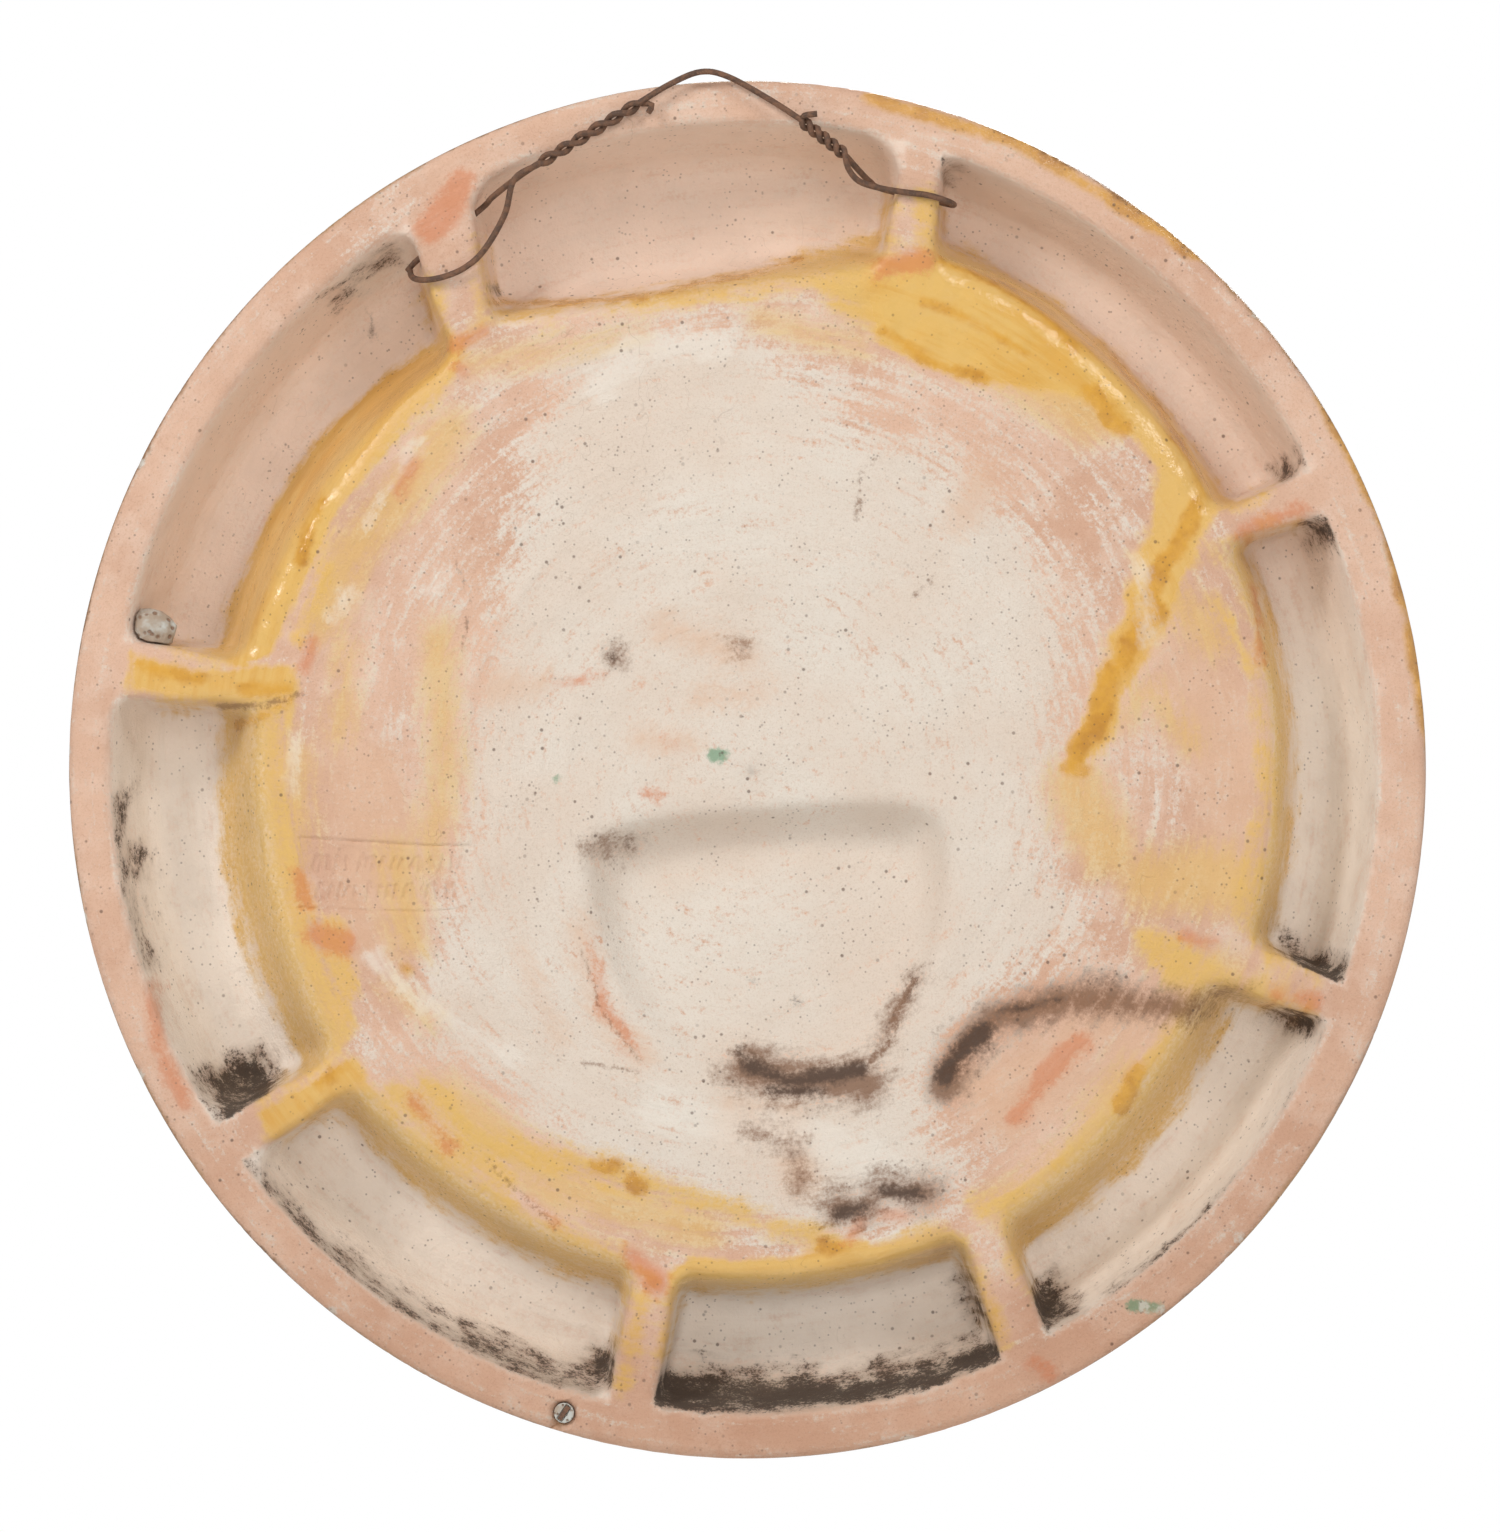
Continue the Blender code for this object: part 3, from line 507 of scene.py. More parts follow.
def front_depth():
    """Depth of the front's surface, and a map of what it shows: 0.5 bowl, 1 leaves, 2 and up the fruit."""
    scaled = GRID.radius * OUTER_RADIUS / rim_radius(GRID.clock)
    edge, inner = OUTER_RADIUS + SIDE_FLARE, OUTER_RADIUS - RING_WIDTH
    profile = [
        (0.0, FIELD_DEPTH),
        (OUTER_RADIUS - FIELD_INSET, FIELD_DEPTH + FIELD_DISH),
        (inner - BEAD_HEIGHT * 2.2, RING_CREST * 0.55),
        (inner - BEAD_HEIGHT * 1.4, RING_CREST * 0.72),
        (inner, RING_CREST * 0.72),
        (inner + BEAD_HEIGHT, RING_CREST * 0.88),
        ((CLUSTER_RADIUS + inner) / 2, RING_CREST),
        (CLUSTER_RADIUS + RING_FLAT, RING_CREST),
        (OUTER_RADIUS - RING_SHOULDER_INSET, RING_CREST * 0.89),
        (edge - BEAD_HEIGHT * 2.4, SIDE_DEPTH + BEAD_HEIGHT * 0.6),
        (edge - BEAD_HEIGHT * 1.7, SIDE_DEPTH + BEAD_HEIGHT),
        (edge - BEAD_HEIGHT * 0.5, SIDE_DEPTH + BEAD_HEIGHT),
        (edge, SIDE_DEPTH),
    ]
    depth = np.interp(scaled, *zip(*profile))
    inset = hollow_inset(GRID.x, GRID.z)
    insets = [-BOWL_WALL, -BOWL_WALL * 0.4, BOWL_TOP_INSET]
    thick = np.interp(inset, insets, [BOWL_WALL * 0.8, BOWL_WALL, BOWL_WALL * 1.3])
    share = np.interp(inset, insets, [0.4, 0.9, 1.0])
    bowl = np.where(inset > insets[0], DISC_RECESS + thick + hollow_full(GRID.z) * share, 0.0)
    gadroons = 0.0012 * np.cos(13 * np.arctan2(GRID.x - HOLLOW_CENTRE_X, HOLLOW_BROW_Z + 0.05 - GRID.z))
    worked = bowl + gadroons * step_up(inset, -0.004, 0.006) * step_up(HOLLOW_BROW_Z - GRID.z, -0.004, 0.01)
    shows = np.where(bowl > depth, 0.5, 0.0)
    depth = GRID.blur(np.maximum(depth, np.where(bowl > 0, worked, 0.0)), 0.0009)
    for number, (kind, centre, size, turn, middle) in enumerate(garland()):
        if kind == "fruit":
            height, _ = fruit_height(GRID.x, GRID.z, centre, size, turn)
        else:
            height = leaf_height(GRID.x, GRID.z, centre, turn, size)
        top = np.where(height > -0.5, middle + height, 0.0)
        over = top > depth
        shows = np.where(over, 1.0 if kind == "leaf" else 2.0 + number, shows)
        depth = np.where(over, top, depth)
    depth = GRID.blur(depth, 0.0006)
    return depth - 0.0009 * np.clip((depth - 0.044) / 0.015, 0, 1.2) ** 2, shows


# Paint and wear on the back, placed by pixels of the photo. A stroke is its width, then its pixels. A
# shoulder's reaches are how far its yellow band runs past the floor's edge and past the crest
CREAM_OUTLINE = run(
    590, 335, 760, 335, 850, 420, 960, 470, 1040, 560, 1060, 640, 1050, 760, 1035, 850, 1070, 925, 1000, 985,
    930, 1060, 935, 1165, 905, 1235, 760, 1225, 640, 1175, 540, 1115, 440, 1035, 425, 985, 468, 900, 470, 800,
    500, 680, 520, 560, 540, 460, 565, 380,
)
SHOULDER_REACHES = {
    "upper_right": (-0.001, 0.003), "right": (-0.0015, 0.003), "lower_right": (0.001, 0.004),
    "bottom": (-0.003, 0.005), "lower_left": (-0.002, 0.004), "left": (-0.001, 0.009),
    "upper_left": (0.001, 0.006),
}
GLOSSY_PATCH = run(
    868, 258, 900, 262, 935, 250, 1000, 264, 1060, 297, 1120, 352, 1170, 412, 1213, 480, 1222, 505, 1206, 530,
    1190, 570, 1165, 625, 1140, 668, 1120, 700, 1112, 735, 1085, 762, 1066, 775, 1072, 745, 1088, 712, 1096,
    676, 1112, 655, 1108, 640, 1128, 612, 1122, 596, 1138, 572, 1134, 556, 1150, 535, 1152, 500, 1158, 470,
    1130, 432, 1108, 428, 1095, 402, 1050, 393, 1000, 384, 960, 378, 930, 368, 880, 345, 866, 305,
)
YELLOW_OUTLINES = (
    GLOSSY_PATCH,
    run(
        452, 345, 470, 322, 500, 303, 560, 300, 640, 290, 700, 279, 760, 262, 820, 238, 884, 222, 886, 262,
        850, 300, 800, 286, 760, 291, 700, 304, 640, 311, 560, 320, 500, 322,
    ),
    run(
        130, 652, 200, 672, 290, 668, 302, 690, 296, 735, 236, 712, 205, 702, 130, 690,
    ),
    run(
        255, 1112, 300, 1092, 352, 1056, 372, 1078, 330, 1112, 270, 1142,
    ),
    run(
        1128, 926, 1170, 930, 1225, 968, 1300, 1006, 1316, 1018, 1262, 1012, 1215, 1000, 1170, 985, 1140, 950,
    ),
)
GLOSSY_OUTLINES = (
    GLOSSY_PATCH,
    run(
        225, 690, 238, 600, 262, 500, 310, 425, 375, 365, 450, 335, 462, 360, 400, 410, 340, 500, 305, 590,
        292, 690,
    ),
    run(
        130, 652, 200, 672, 290, 668, 302, 690, 205, 702, 130, 690,
    ),
    run(
        255, 1112, 352, 1056, 372, 1078, 270, 1142,
    ),
    run(
        640, 1262, 955, 1235, 960, 1262, 665, 1290,
    ),
)
YELLOW_STROKES = strokes(
    (8, 420, 1080, 470, 1135, 560, 1162, 650, 1184, 740, 1215, 860, 1250),
    (10, 395, 1090, 430, 1130, 500, 1180), (5, 620, 1290, 640, 1300, 622, 1388),
    (5, 965, 1250, 985, 1300, 1003, 1345), (4, 888, 190, 890, 250), (8, 925, 195, 935, 250),
    (7, 428, 290, 440, 330, 452, 352), (5, 478, 290, 480, 318), (4, 1205, 548, 1250, 545, 1268, 520),
    (6, 1190, 560, 1230, 556, 1262, 600), (9, 330, 930, 345, 985), (4, 300, 640, 330, 570),
    (14, 850, 290, 900, 310, 930, 330), (8, 980, 1205, 1060, 1190, 1100, 1140),
    (5, 1215, 600, 1258, 680, 1268, 800, 1240, 910),
)
BARE_STROKES = strokes(
    (44, 330, 760, 340, 860, 340, 960), (30, 320, 640, 360, 560, 430, 470),
    (46, 1030, 1090, 1110, 1040, 1160, 1030), (34, 1190, 620, 1230, 760, 1210, 880),
    (20, 960, 440, 1060, 500, 1100, 560), (22, 430, 1090, 560, 1200),
)
MARKS = {
    "amber": strokes(
        (6, 1090, 392, 1112, 422, 1122, 428), (3, 1118, 355, 1160, 405, 1196, 470, 1206, 500),
        (6, 1196, 508, 1180, 545, 1165, 562, 1150, 600, 1158, 610, 1132, 640, 1124, 660),
        (6.5, 1112, 672, 1102, 700, 1098, 728, 1078, 742, 1072, 770), (5, 1066, 768, 1085, 772),
        (2.5, 940, 262, 985, 275, 1040, 310, 1075, 345), (3, 925, 300, 985, 325, 1025, 352),
        # The strokes from pixel 495, 298 to 800, 255 are partly pooled amber, partly painted shadow in the
        # crease at the top pocket's floor.
        (3, 885, 330, 930, 362, 985, 378), (2.5, 495, 298, 570, 300, 650, 294),
        (2, 660, 290, 740, 272, 800, 255), (6, 1140, 1070, 1120, 1105), (4, 596, 1168, 612, 1168),
        (4, 632, 1182, 640, 1186), (4, 824, 1246, 846, 1248), (3, 404, 968, 408, 972),
        (5, 245, 690, 285, 690), (4, 140, 665, 200, 680), (3, 232, 725, 262, 716, 290, 700),
        (3, 298, 560, 320, 500),
        (4, 640, 1270, 655, 1282), (3, 318, 1086, 345, 1066),
    ) + [
        (polar((14, 233.0), (27, 233), (45, 233)), 4.5), (polar((60, 233), (74, 232.5), (92, 232)), 4.5),
    ],
    "red": strokes(
        (5, 455, 342, 485, 330), (11, 430, 230, 448, 205, 460, 185), (8, 882, 268, 925, 262),
        (7, 1242, 532, 1300, 508), (5, 1186, 935, 1210, 945), (5, 1275, 995, 1315, 1002),
        (7, 1035, 1362, 1048, 1372), (9, 632, 1258, 658, 1282), (5, 412, 1102, 435, 1130, 450, 1145),
        (3, 528, 1200, 555, 1224), (6, 398, 490, 412, 464), (4, 460, 366, 465, 372), (5, 312, 640, 305, 668),
        (4, 590, 945, 605, 1010, 640, 1052), (7, 1015, 1118, 1048, 1075, 1080, 1040), (9, 312, 935, 345, 945),
        (5, 150, 985, 160, 1050), (5, 165, 1060, 185, 1100), (4, 1258, 590, 1262, 660),
        (6, 850, 1238, 862, 1218), (6, 880, 1216, 900, 1214), (4, 560, 684, 600, 676),
        (4, 645, 792, 660, 794), (4, 662, 738, 676, 748), (4, 300, 870, 306, 905), (3, 620, 1050, 640, 1060),
    ),
    "smudge": strokes(
        (30, 360, 780, 380, 850, 370, 930), (9, 480, 690, 540, 684), (10, 660, 625, 740, 655),
        (14, 730, 1120, 790, 1128, 800, 1180), (18, 980, 1090, 1010, 1110),
        (9, 580, 930, 600, 1010, 640, 1056), (18, 330, 560, 345, 600), (26, 1180, 640, 1230, 760, 1230, 860),
        (10, 980, 480, 960, 520), (30, 1010, 1100, 1080, 1060, 1150, 1040), (7, 700, 700, 760, 690),
        (7, 640, 740, 690, 745), (5, 520, 950, 560, 1040), (8, 1240, 940, 1300, 980),
    ),
    "stain": strokes(
        (9, 945, 1086, 962, 1042, 1000, 1014, 1060, 1002, 1110, 1000),
        (6, 1110, 1000, 1160, 1006, 1205, 1008),
        (12, 745, 1072, 800, 1082, 866, 1082), (8, 840, 1210, 868, 1210), (7, 878, 1192, 925, 1192),
        (1, 745, 1128, 800, 1150), (1, 800, 1150, 796, 1190), (0.5, 612, 655, 616, 658),
        (0.5, 735, 645, 745, 650), (1, 590, 850, 634, 849), (1, 915, 980, 870, 1064),
        (1, 1140, 1010, 1240, 990),
    ),
    "wash": strokes(
        (12, 436, 640, 446, 770, 428, 860), (14, 395, 860, 412, 940),
        (16, 318, 620, 345, 560, 420, 470, 450, 430), (9, 345, 650, 340, 730), (9, 300, 760, 296, 860),
        (7, 470, 365, 560, 345, 640, 335), (8, 760, 318, 860, 345), (22, 1075, 790, 1110, 850),
        (24, 1150, 880, 1235, 880), (9, 1120, 720, 1150, 690, 1190, 740), (12, 1180, 600, 1215, 640),
        (14, 1000, 1205, 1080, 1150, 1130, 1080), (16, 450, 1100, 560, 1190, 700, 1230),
        (7, 390, 985, 430, 1020), (12, 1160, 950, 1195, 985), (10, 1200, 960, 1290, 1005),
        (30, 870, 290, 1000, 340, 1090, 400),
    ),
    "soot": strokes(
        (7.5, 945, 1076, 958, 1052, 985, 1030), (2, 1000, 1012, 1060, 1000),
        (6, 748, 1066, 790, 1082, 862, 1070), (5, 770, 1090, 820, 1092), (6, 840, 1214, 862, 1210),
        (5, 882, 1192, 920, 1194), (0.6, 360, 300, 368, 330), (2.6, 613, 656), (2.0, 737, 647),
        (4, 798, 1002),
        (3, 739, 1051), (2, 752, 982), (3, 629, 846), (2, 1202, 508), (2.2, 915, 978, 908, 996),
        (3.5, 492, 285),
    ),
    "green": strokes(
        (4.5, 714, 755, 722, 755), (3.5, 557, 780), (3, 1132, 1306, 1158, 1308),
    ),
    "pale": strokes(
        (12, 600, 385, 640, 345, 720, 340), (9, 352, 280, 398, 252), (14, 660, 1110, 860, 1150, 900, 1190),
        (3, 330, 620, 352, 580), (4, 296, 735, 290, 790), (6, 370, 960, 420, 1000, 520, 1060),
        (3, 420, 600, 480, 540), (3, 365, 520, 420, 440), (4, 1140, 560, 1150, 640),
    ),
    "crack": strokes(
        (1.6, 915, 980, 898, 1010, 892, 1040, 870, 1064), (1.6, 216, 706, 262, 706, 300, 694),
        (0.6, 862, 500, 855, 520, 862, 470, 880, 455), (0.6, 940, 572, 912, 598, 925, 588),
        (0.8, 486, 1160, 520, 1195, 556, 1226), (0.5, 640, 1062, 600, 1010, 582, 950),
        (0.4, 455, 560, 470, 600, 462, 650), (0.5, 580, 1062, 640, 1072),
    ),
    "chip": strokes(
        (4.5, 135, 1078), (4, 152, 1117), (3.5, 1145, 1308), (3, 1160, 1310), (4, 1238, 1238),
    ) + [
        (polar((52, 233)), 3.5), (polar((301, 233)), 3.5), (polar((171, 234)), 3.5), (polar((262, 233)), 3),
        (polar((276, 233)), 3), (polar((222, 233)), 3), (polar((248, 233)), 3),
    ],
}
# Pieces of the pockets' dirt: clock angles, radii in millimetres, and how far its edge is drawn in
DIRT_BANDS = (
    (70, 72.5, 208, 217, 1.5), (112, 115.5, 194, 215, 0), (117.5, 119.5, 198, 214, 1.5),
    (153, 157.5, 202, 217, 0.5), (160.5, 193.5, 211, 220, -0.5), (178, 194, 208, 220, -0.5),
    (198, 238, 215.5, 221, 2.3), (198, 212, 214, 221, 1.0), (236.8, 238.5, 186, 216, 3.0),
    (239.5, 245, 196, 216, 0), (196.5, 200, 204, 217, 1.5), (160.5, 162.5, 188, 206, 2.0),
    (122, 150, 216, 220, 2.5), (256, 272, 215, 219, 2.0), (21.5, 23.0, 212, 219, 2.5),
    (63.5, 66, 205, 215, 2.5), (322, 330, 214, 219, 4.0), (264, 268, 212, 219, 2.0),
)
BAND_OUTLINE = run(300, 840, 468, 848, 465, 908, 300, 910)
BAND_LINES = strokes(
    (0.8, 300, 838, 360, 842, 425, 846, 470, 846), (0.8, 298, 908, 360, 911, 430, 912, 466, 908),
    (0.7, 330, 985, 400, 1090, 470, 1160),
)
WRITING_ROWS = ((312, 462, 864), (316, 458, 892))


def shoulder_bands():
    """Signed distance to the yellow ring that runs over the pockets' inner slopes and the struts' sides."""
    found = np.full_like(GRID.x, -1.0)
    for pocket in POCKETS:
        share, length, floor, crest = pocket_place(pocket, GRID.clock, GRID.radius)
        ends = np.minimum(share, 1 - share) * length + 0.001
        if pocket.name in SHOULDER_REACHES:
            outer, inner = SHOULDER_REACHES[pocket.name]
            reach = np.minimum(floor + outer - GRID.radius, GRID.radius - crest + inner)
            found = np.maximum(found, np.minimum(reach, ends + 0.002))
        side = np.minimum(0.0012 - np.abs(ends - 0.001), np.minimum(GRID.radius - crest, 0.205 - GRID.radius))
        found = np.maximum(found, side)
    return found


def pocket_inside():
    """1 inside the pockets and 0 on the disc, the struts and the rim."""
    found = np.zeros_like(GRID.x)
    for pocket in POCKETS:
        share, length, _, crest = pocket_place(pocket, GRID.clock, GRID.radius)
        wall = rim_radius(GRID.clock) - pocket.rim
        ends = np.minimum(share, 1 - share) * length
        inside = np.minimum(ends, np.minimum(wall - GRID.radius, GRID.radius - crest))
        found = np.maximum(found, soft(inside, 1.5))
    return found


def writing():
    """Rows of short shallow strokes, in the place of a worn incised line of writing."""
    draw = np.random.default_rng(41)
    made = []
    for left, right, level in WRITING_ROWS:
        u = left
        while u < right:
            lean, tall = draw.uniform(-4, 5), draw.uniform(9, 17)
            made.append((run(u, level + tall / 2, u + lean, level - tall / 2), 1.0))
            u += draw.uniform(6, 13)
    return made


def drawn(strokes):
    """Signed distance over the grid to the nearest of some strokes, positive inside it."""
    return most(stroke(*one) for one in strokes)


def paint_maps():
    """Fields that the back's finish is mixed from, painted shade and painted light among them. Those with an
    edge are signed distances in millimetres.
    """
    inside = pocket_inside()
    patches = [patch(outline) for outline in YELLOW_OUTLINES]
    edged = {
        "yellow": most([shoulder_bands(), drawn(YELLOW_STROKES), *patches]),
        "dirt": most(band(*place) - inset / 1000 for *place, inset in DIRT_BANDS),
        **{name: drawn(marks) for name, marks in MARKS.items()},
    }
    glossy = most(patch(outline) for outline in GLOSSY_OUTLINES)
    slip = 0.37 + 0.58 * soft(patch(CREAM_OUTLINE), 15) - 0.27 * soft(GRID.radius - 0.190, 12)
    slip = slip - 0.15 * soft(drawn(BARE_STROKES), 12) * (1 - inside)
    # Painted light: the slip is raised inside the pockets, so that their floors stay pale in their shade.
    slip = slip + (0.78 - slip) * inside
    # Painted shade, partly ruddier clay: the clay is made darker and ruddier low on the back, where the light
    # falls off.
    low = soft(-GRID.z - 0.12, 90)
    # Painted light: the lower pockets are given a paler cream, where less of the light reaches them.
    lower_pocket_cream_and_light = soft(0.045 - GRID.z, 40)
    shade = 0.45 * low * soft(GRID.radius - 0.19, 12) * (1 - 0.65 * inside)
    shares = {"slip": slip, "glossy": soft(glossy, 4), "shade": shade, "inside": inside, "lower_pocket_cream_and_light": lower_pocket_cream_and_light}
    return {**{name: field * 1000 for name, field in edged.items()}, **shares}


def worked_relief(paints):
    """Height of the hand-worked and worn surface over the plain one, in metres."""
    disc = soft(0.172 - GRID.radius, 10)
    rim = soft(GRID.radius - 0.205, 10)
    hills = 0.00050 * GRID.cloud(0.024, 3) + 0.00022 * GRID.cloud(0.009, 4) + 0.00008 * GRID.cloud(0.0035, 5)
    angle = np.radians(GRID.clock)
    ridges = np.zeros_like(GRID.x)
    draw = np.random.default_rng(6)
    for _ in range(TOOL_MARKS):
        turn, reach = draw.uniform(-math.pi, math.pi), draw.uniform(0.05, 0.165)
        span, wide = draw.uniform(0.25, 0.8), draw.uniform(0.0012, 0.0035)
        off = (angle - turn + math.pi) % (2 * math.pi) - math.pi
        radial = (GRID.radius - reach - draw.uniform(-0.006, 0.006) * off) / wide
        ridges += draw.uniform(-1, 1) * np.exp(-radial ** 2) * np.exp(-(off / span) ** 4)
    height = hills * (0.55 + 0.85 * disc) + 0.00052 * ridges * disc
    height += 0.00030 * GRID.cloud(0.012, 8) * rim
    thick = soft(GRID.blur(paints["yellow"] / 1000, 0.001), 1.5)
    height += 0.00035 * thick * (0.5 + paints["glossy"]) + 0.00045 * soft(paints["amber"] / 1000, 0.8)
    height += 0.00025 * GRID.cloud(0.0022, 12) * thick * paints["glossy"]
    height -= 0.0011 * GRID.blur(soft(paints["chip"] / 1000, 1.2), 0.0006)
    height -= 0.0007 * soft(patch(BAND_OUTLINE), 2)
    height -= 0.0008 * soft(drawn(BAND_LINES + writing()), 0.5) + 0.0005 * soft(paints["crack"] / 1000, 0.5)
    lumps = np.clip(GRID.cloud(0.0028, 11), 0, 3)
    height += 0.0008 * lumps * soft(paints["dirt"] / 1000, 3)
    return height


def hole_lines():
    """The two wire holes, each by its start, its finish and its radius, relative to the centre."""
    lines = []
    for near, far in HOLES:
        start, finish = on_plaque(*near, HOLE_DEPTH) - CENTRE, on_plaque(*far, HOLE_DEPTH) - CENTRE
        over = (finish - start).normalized() * HOLE_DIAMETER
        lines.append((start - over, finish + over, HOLE_DIAMETER / 2))
    return lines


def smooth_most(a, b, reach):
    """The larger of two fields, with the edge between them rounded over reach."""
    near = np.clip(0.5 + 0.5 * (a - b) / reach, 0, 1)
    return b + (a - b) * near + reach * near * (1 - near)


class Surface:
    """The plaque's whole surface as a field that is negative inside the clay."""

    def __init__(self, paints):
        self.back = back_depth() - worked_relief(paints)
        self.front, self.shows = front_depth()
        self.back_steep = np.hypot(*np.gradient(self.back, GRID_STEP))
        self.front_steep = np.hypot(*np.gradient(self.front, GRID_STEP))
        inset = OUTER_RADIUS - float(rim_radius(PLUG_CLOCK)) + PLUG_FROM_EDGE
        self.socket = on_plaque(PLUG_CLOCK, inset, 0) - CENTRE
        self.holes = hole_lines()

    def sides(self, p):
        """Signed distances outside the back, the front and the side wall."""
        x, depth, z = p.T
        back = (GRID.read(self.back, x, z) - depth) / np.hypot(1, GRID.read(self.back_steep, x, z))
        front = (depth - GRID.read(self.front, x, z)) / np.hypot(1, GRID.read(self.front_steep, x, z))
        clock = np.degrees(np.arctan2(x, z))
        flare = np.interp(depth, [0, SIDE_DEPTH * 0.5, SIDE_DEPTH], [0, SIDE_FLARE * 0.6, SIDE_FLARE])
        side = np.hypot(x, z) - rim_radius(clock) - flare
        return back, front, side

    def outside(self, p):
        back, front, side = self.sides(p)
        value = smooth_most(smooth_most(back, side, 0.0030), front, 0.0012)
        socket = np.hypot(p[:, 0] - self.socket.x, p[:, 2] - self.socket.z)
        value = smooth_most(value, np.minimum(PLUG_RADIUS + PIECE_GAP - socket, PLUG_DEPTH - p[:, 1]), 0.0003)
        for start, finish, radius in self.holes:
            way = np.array(finish - start)
            share = np.clip((p - np.array(start)) @ way / (way @ way), 0, 1)
            away = np.linalg.norm(p - np.array(start) - share[:, None] * way, axis=1)
            value = smooth_most(value, radius - away, 0.0006)
        return value

    def settle(self, p, rounds):
        """Moves places onto the surface."""
        reach = 0.0003
        for _ in range(rounds):
            value = self.outside(p)
            slope = np.stack([
                self.outside(p + step) - self.outside(p - step) for step in np.eye(3) * reach
            ], axis=1) / (2 * reach)
            steep = np.maximum((slope ** 2).sum(1), 0.25)
            move = slope * (value / steep)[:, None]
            far = np.linalg.norm(move, axis=1)
            p = p - move * np.minimum(1.0, 0.0012 / np.maximum(far, 1e-9))[:, None]
        return p


def twisted(twist, strand):
    """Points of one strand of two that are wound round each other, from the twist's start to its finish."""
    near, far, turns = twist
    start, finish = on_plaque(*near, -WIRE_STAND_OFF), on_plaque(*far, -WIRE_STAND_OFF)
    out = Vector((0.0, -1.0, 0.0))
    across = (finish - start).normalized().cross(out)
    steps = round(turns * TWIST_STEPS)
    points = []
    for k in range(steps + 1):
        angle = math.pi * strand + 2 * math.pi * turns * k / steps
        offset = (out * math.cos(angle) + across * math.sin(angle)) * STRAND_SPACING / 2
        points.append(start.lerp(finish, k / steps) + offset)
    return points


def smooth_route(points, spacing):
    """Points at about equal spacing on a smooth curve through the given ones."""
    made = []
    for k in range(len(points) - 1):
        before, start = points[max(k - 1, 0)], points[k]
        finish, after = points[k + 1], points[min(k + 2, len(points) - 1)]
        steps = max(1, round((finish - start).length / spacing))
        for step in range(steps):
            t = step / steps
            made.append(0.5 * (
                2 * start + (finish - before) * t + (2 * before - 5 * start + 4 * finish - after) * t ** 2
                + (3 * start - before - 3 * finish + after) * t ** 3
            ))
    return made + [points[-1]]


def wire_route():
    """The wire from its left free end, through both struts, to its right free end."""
    left_hole, right_hole = ([on_plaque(*end, HOLE_DEPTH) for end in hole] for hole in HOLES)
    route = [on_plaque(*point) for point in LEFT_END]
    route += twisted(LEFT_TWIST, 1)[::-1]
    route += [on_plaque(*point) for point in LEFT_LOOP] + left_hole
    route += [on_plaque(*point) for point in LEFT_CLIMB]
    route += twisted(LEFT_TWIST, 0)
    route += [on_plaque(*point) for point in APEX]
    route += twisted(RIGHT_TWIST, 0)
    route += [on_plaque(*point) for point in RIGHT_FALL] + right_hole
    route += [on_plaque(*point) for point in RIGHT_HOOK]
    route += twisted(RIGHT_TWIST, 1)[::-1]
    route += [on_plaque(*point) for point in RIGHT_END]
    return smooth_route(route, 0.0016)


def deselect():
    bpy.ops.object.select_all(action="DESELECT")


def make_active(thing):
    deselect()
    thing.select_set(True)
    bpy.context.view_layer.objects.active = thing


def apply_modifiers(thing):
    make_active(thing)
    for modifier in list(thing.modifiers):
        bpy.ops.object.modifier_apply(modifier=modifier.name)


def merged_copy(node, name):
    """A copy of a node of the solids, its loose triangles joined."""
    source = bpy.data.objects[node]
    thing = bpy.data.objects.new(name, source.data.copy())
    bpy.context.collection.objects.link(thing)
    make_active(thing)
    bpy.ops.object.mode_set(mode="EDIT")
    bpy.ops.mesh.select_all(action="SELECT")
    bpy.ops.mesh.remove_doubles(threshold=0.00001)
    bpy.ops.mesh.normals_make_consistent(inside=False)
    bpy.ops.object.mode_set(mode="OBJECT")
    thing.data.materials.clear()
    return thing


def places_of(thing):
    flat = np.empty(len(thing.data.vertices) * 3)
    thing.data.vertices.foreach_get("co", flat)
    return flat.reshape(-1, 3)


def put_places(thing, places):
    """Moves the points of a piece, none of them out of the CAD model's box."""
    thing.data.vertices.foreach_set("co", np.clip(places, *np.array(CAD_BOX)).ravel())
    thing.data.update()


def smooth_shading(thing, angle=60.0):
    make_active(thing)
    bpy.ops.object.shade_smooth_by_angle(angle=math.radians(angle))


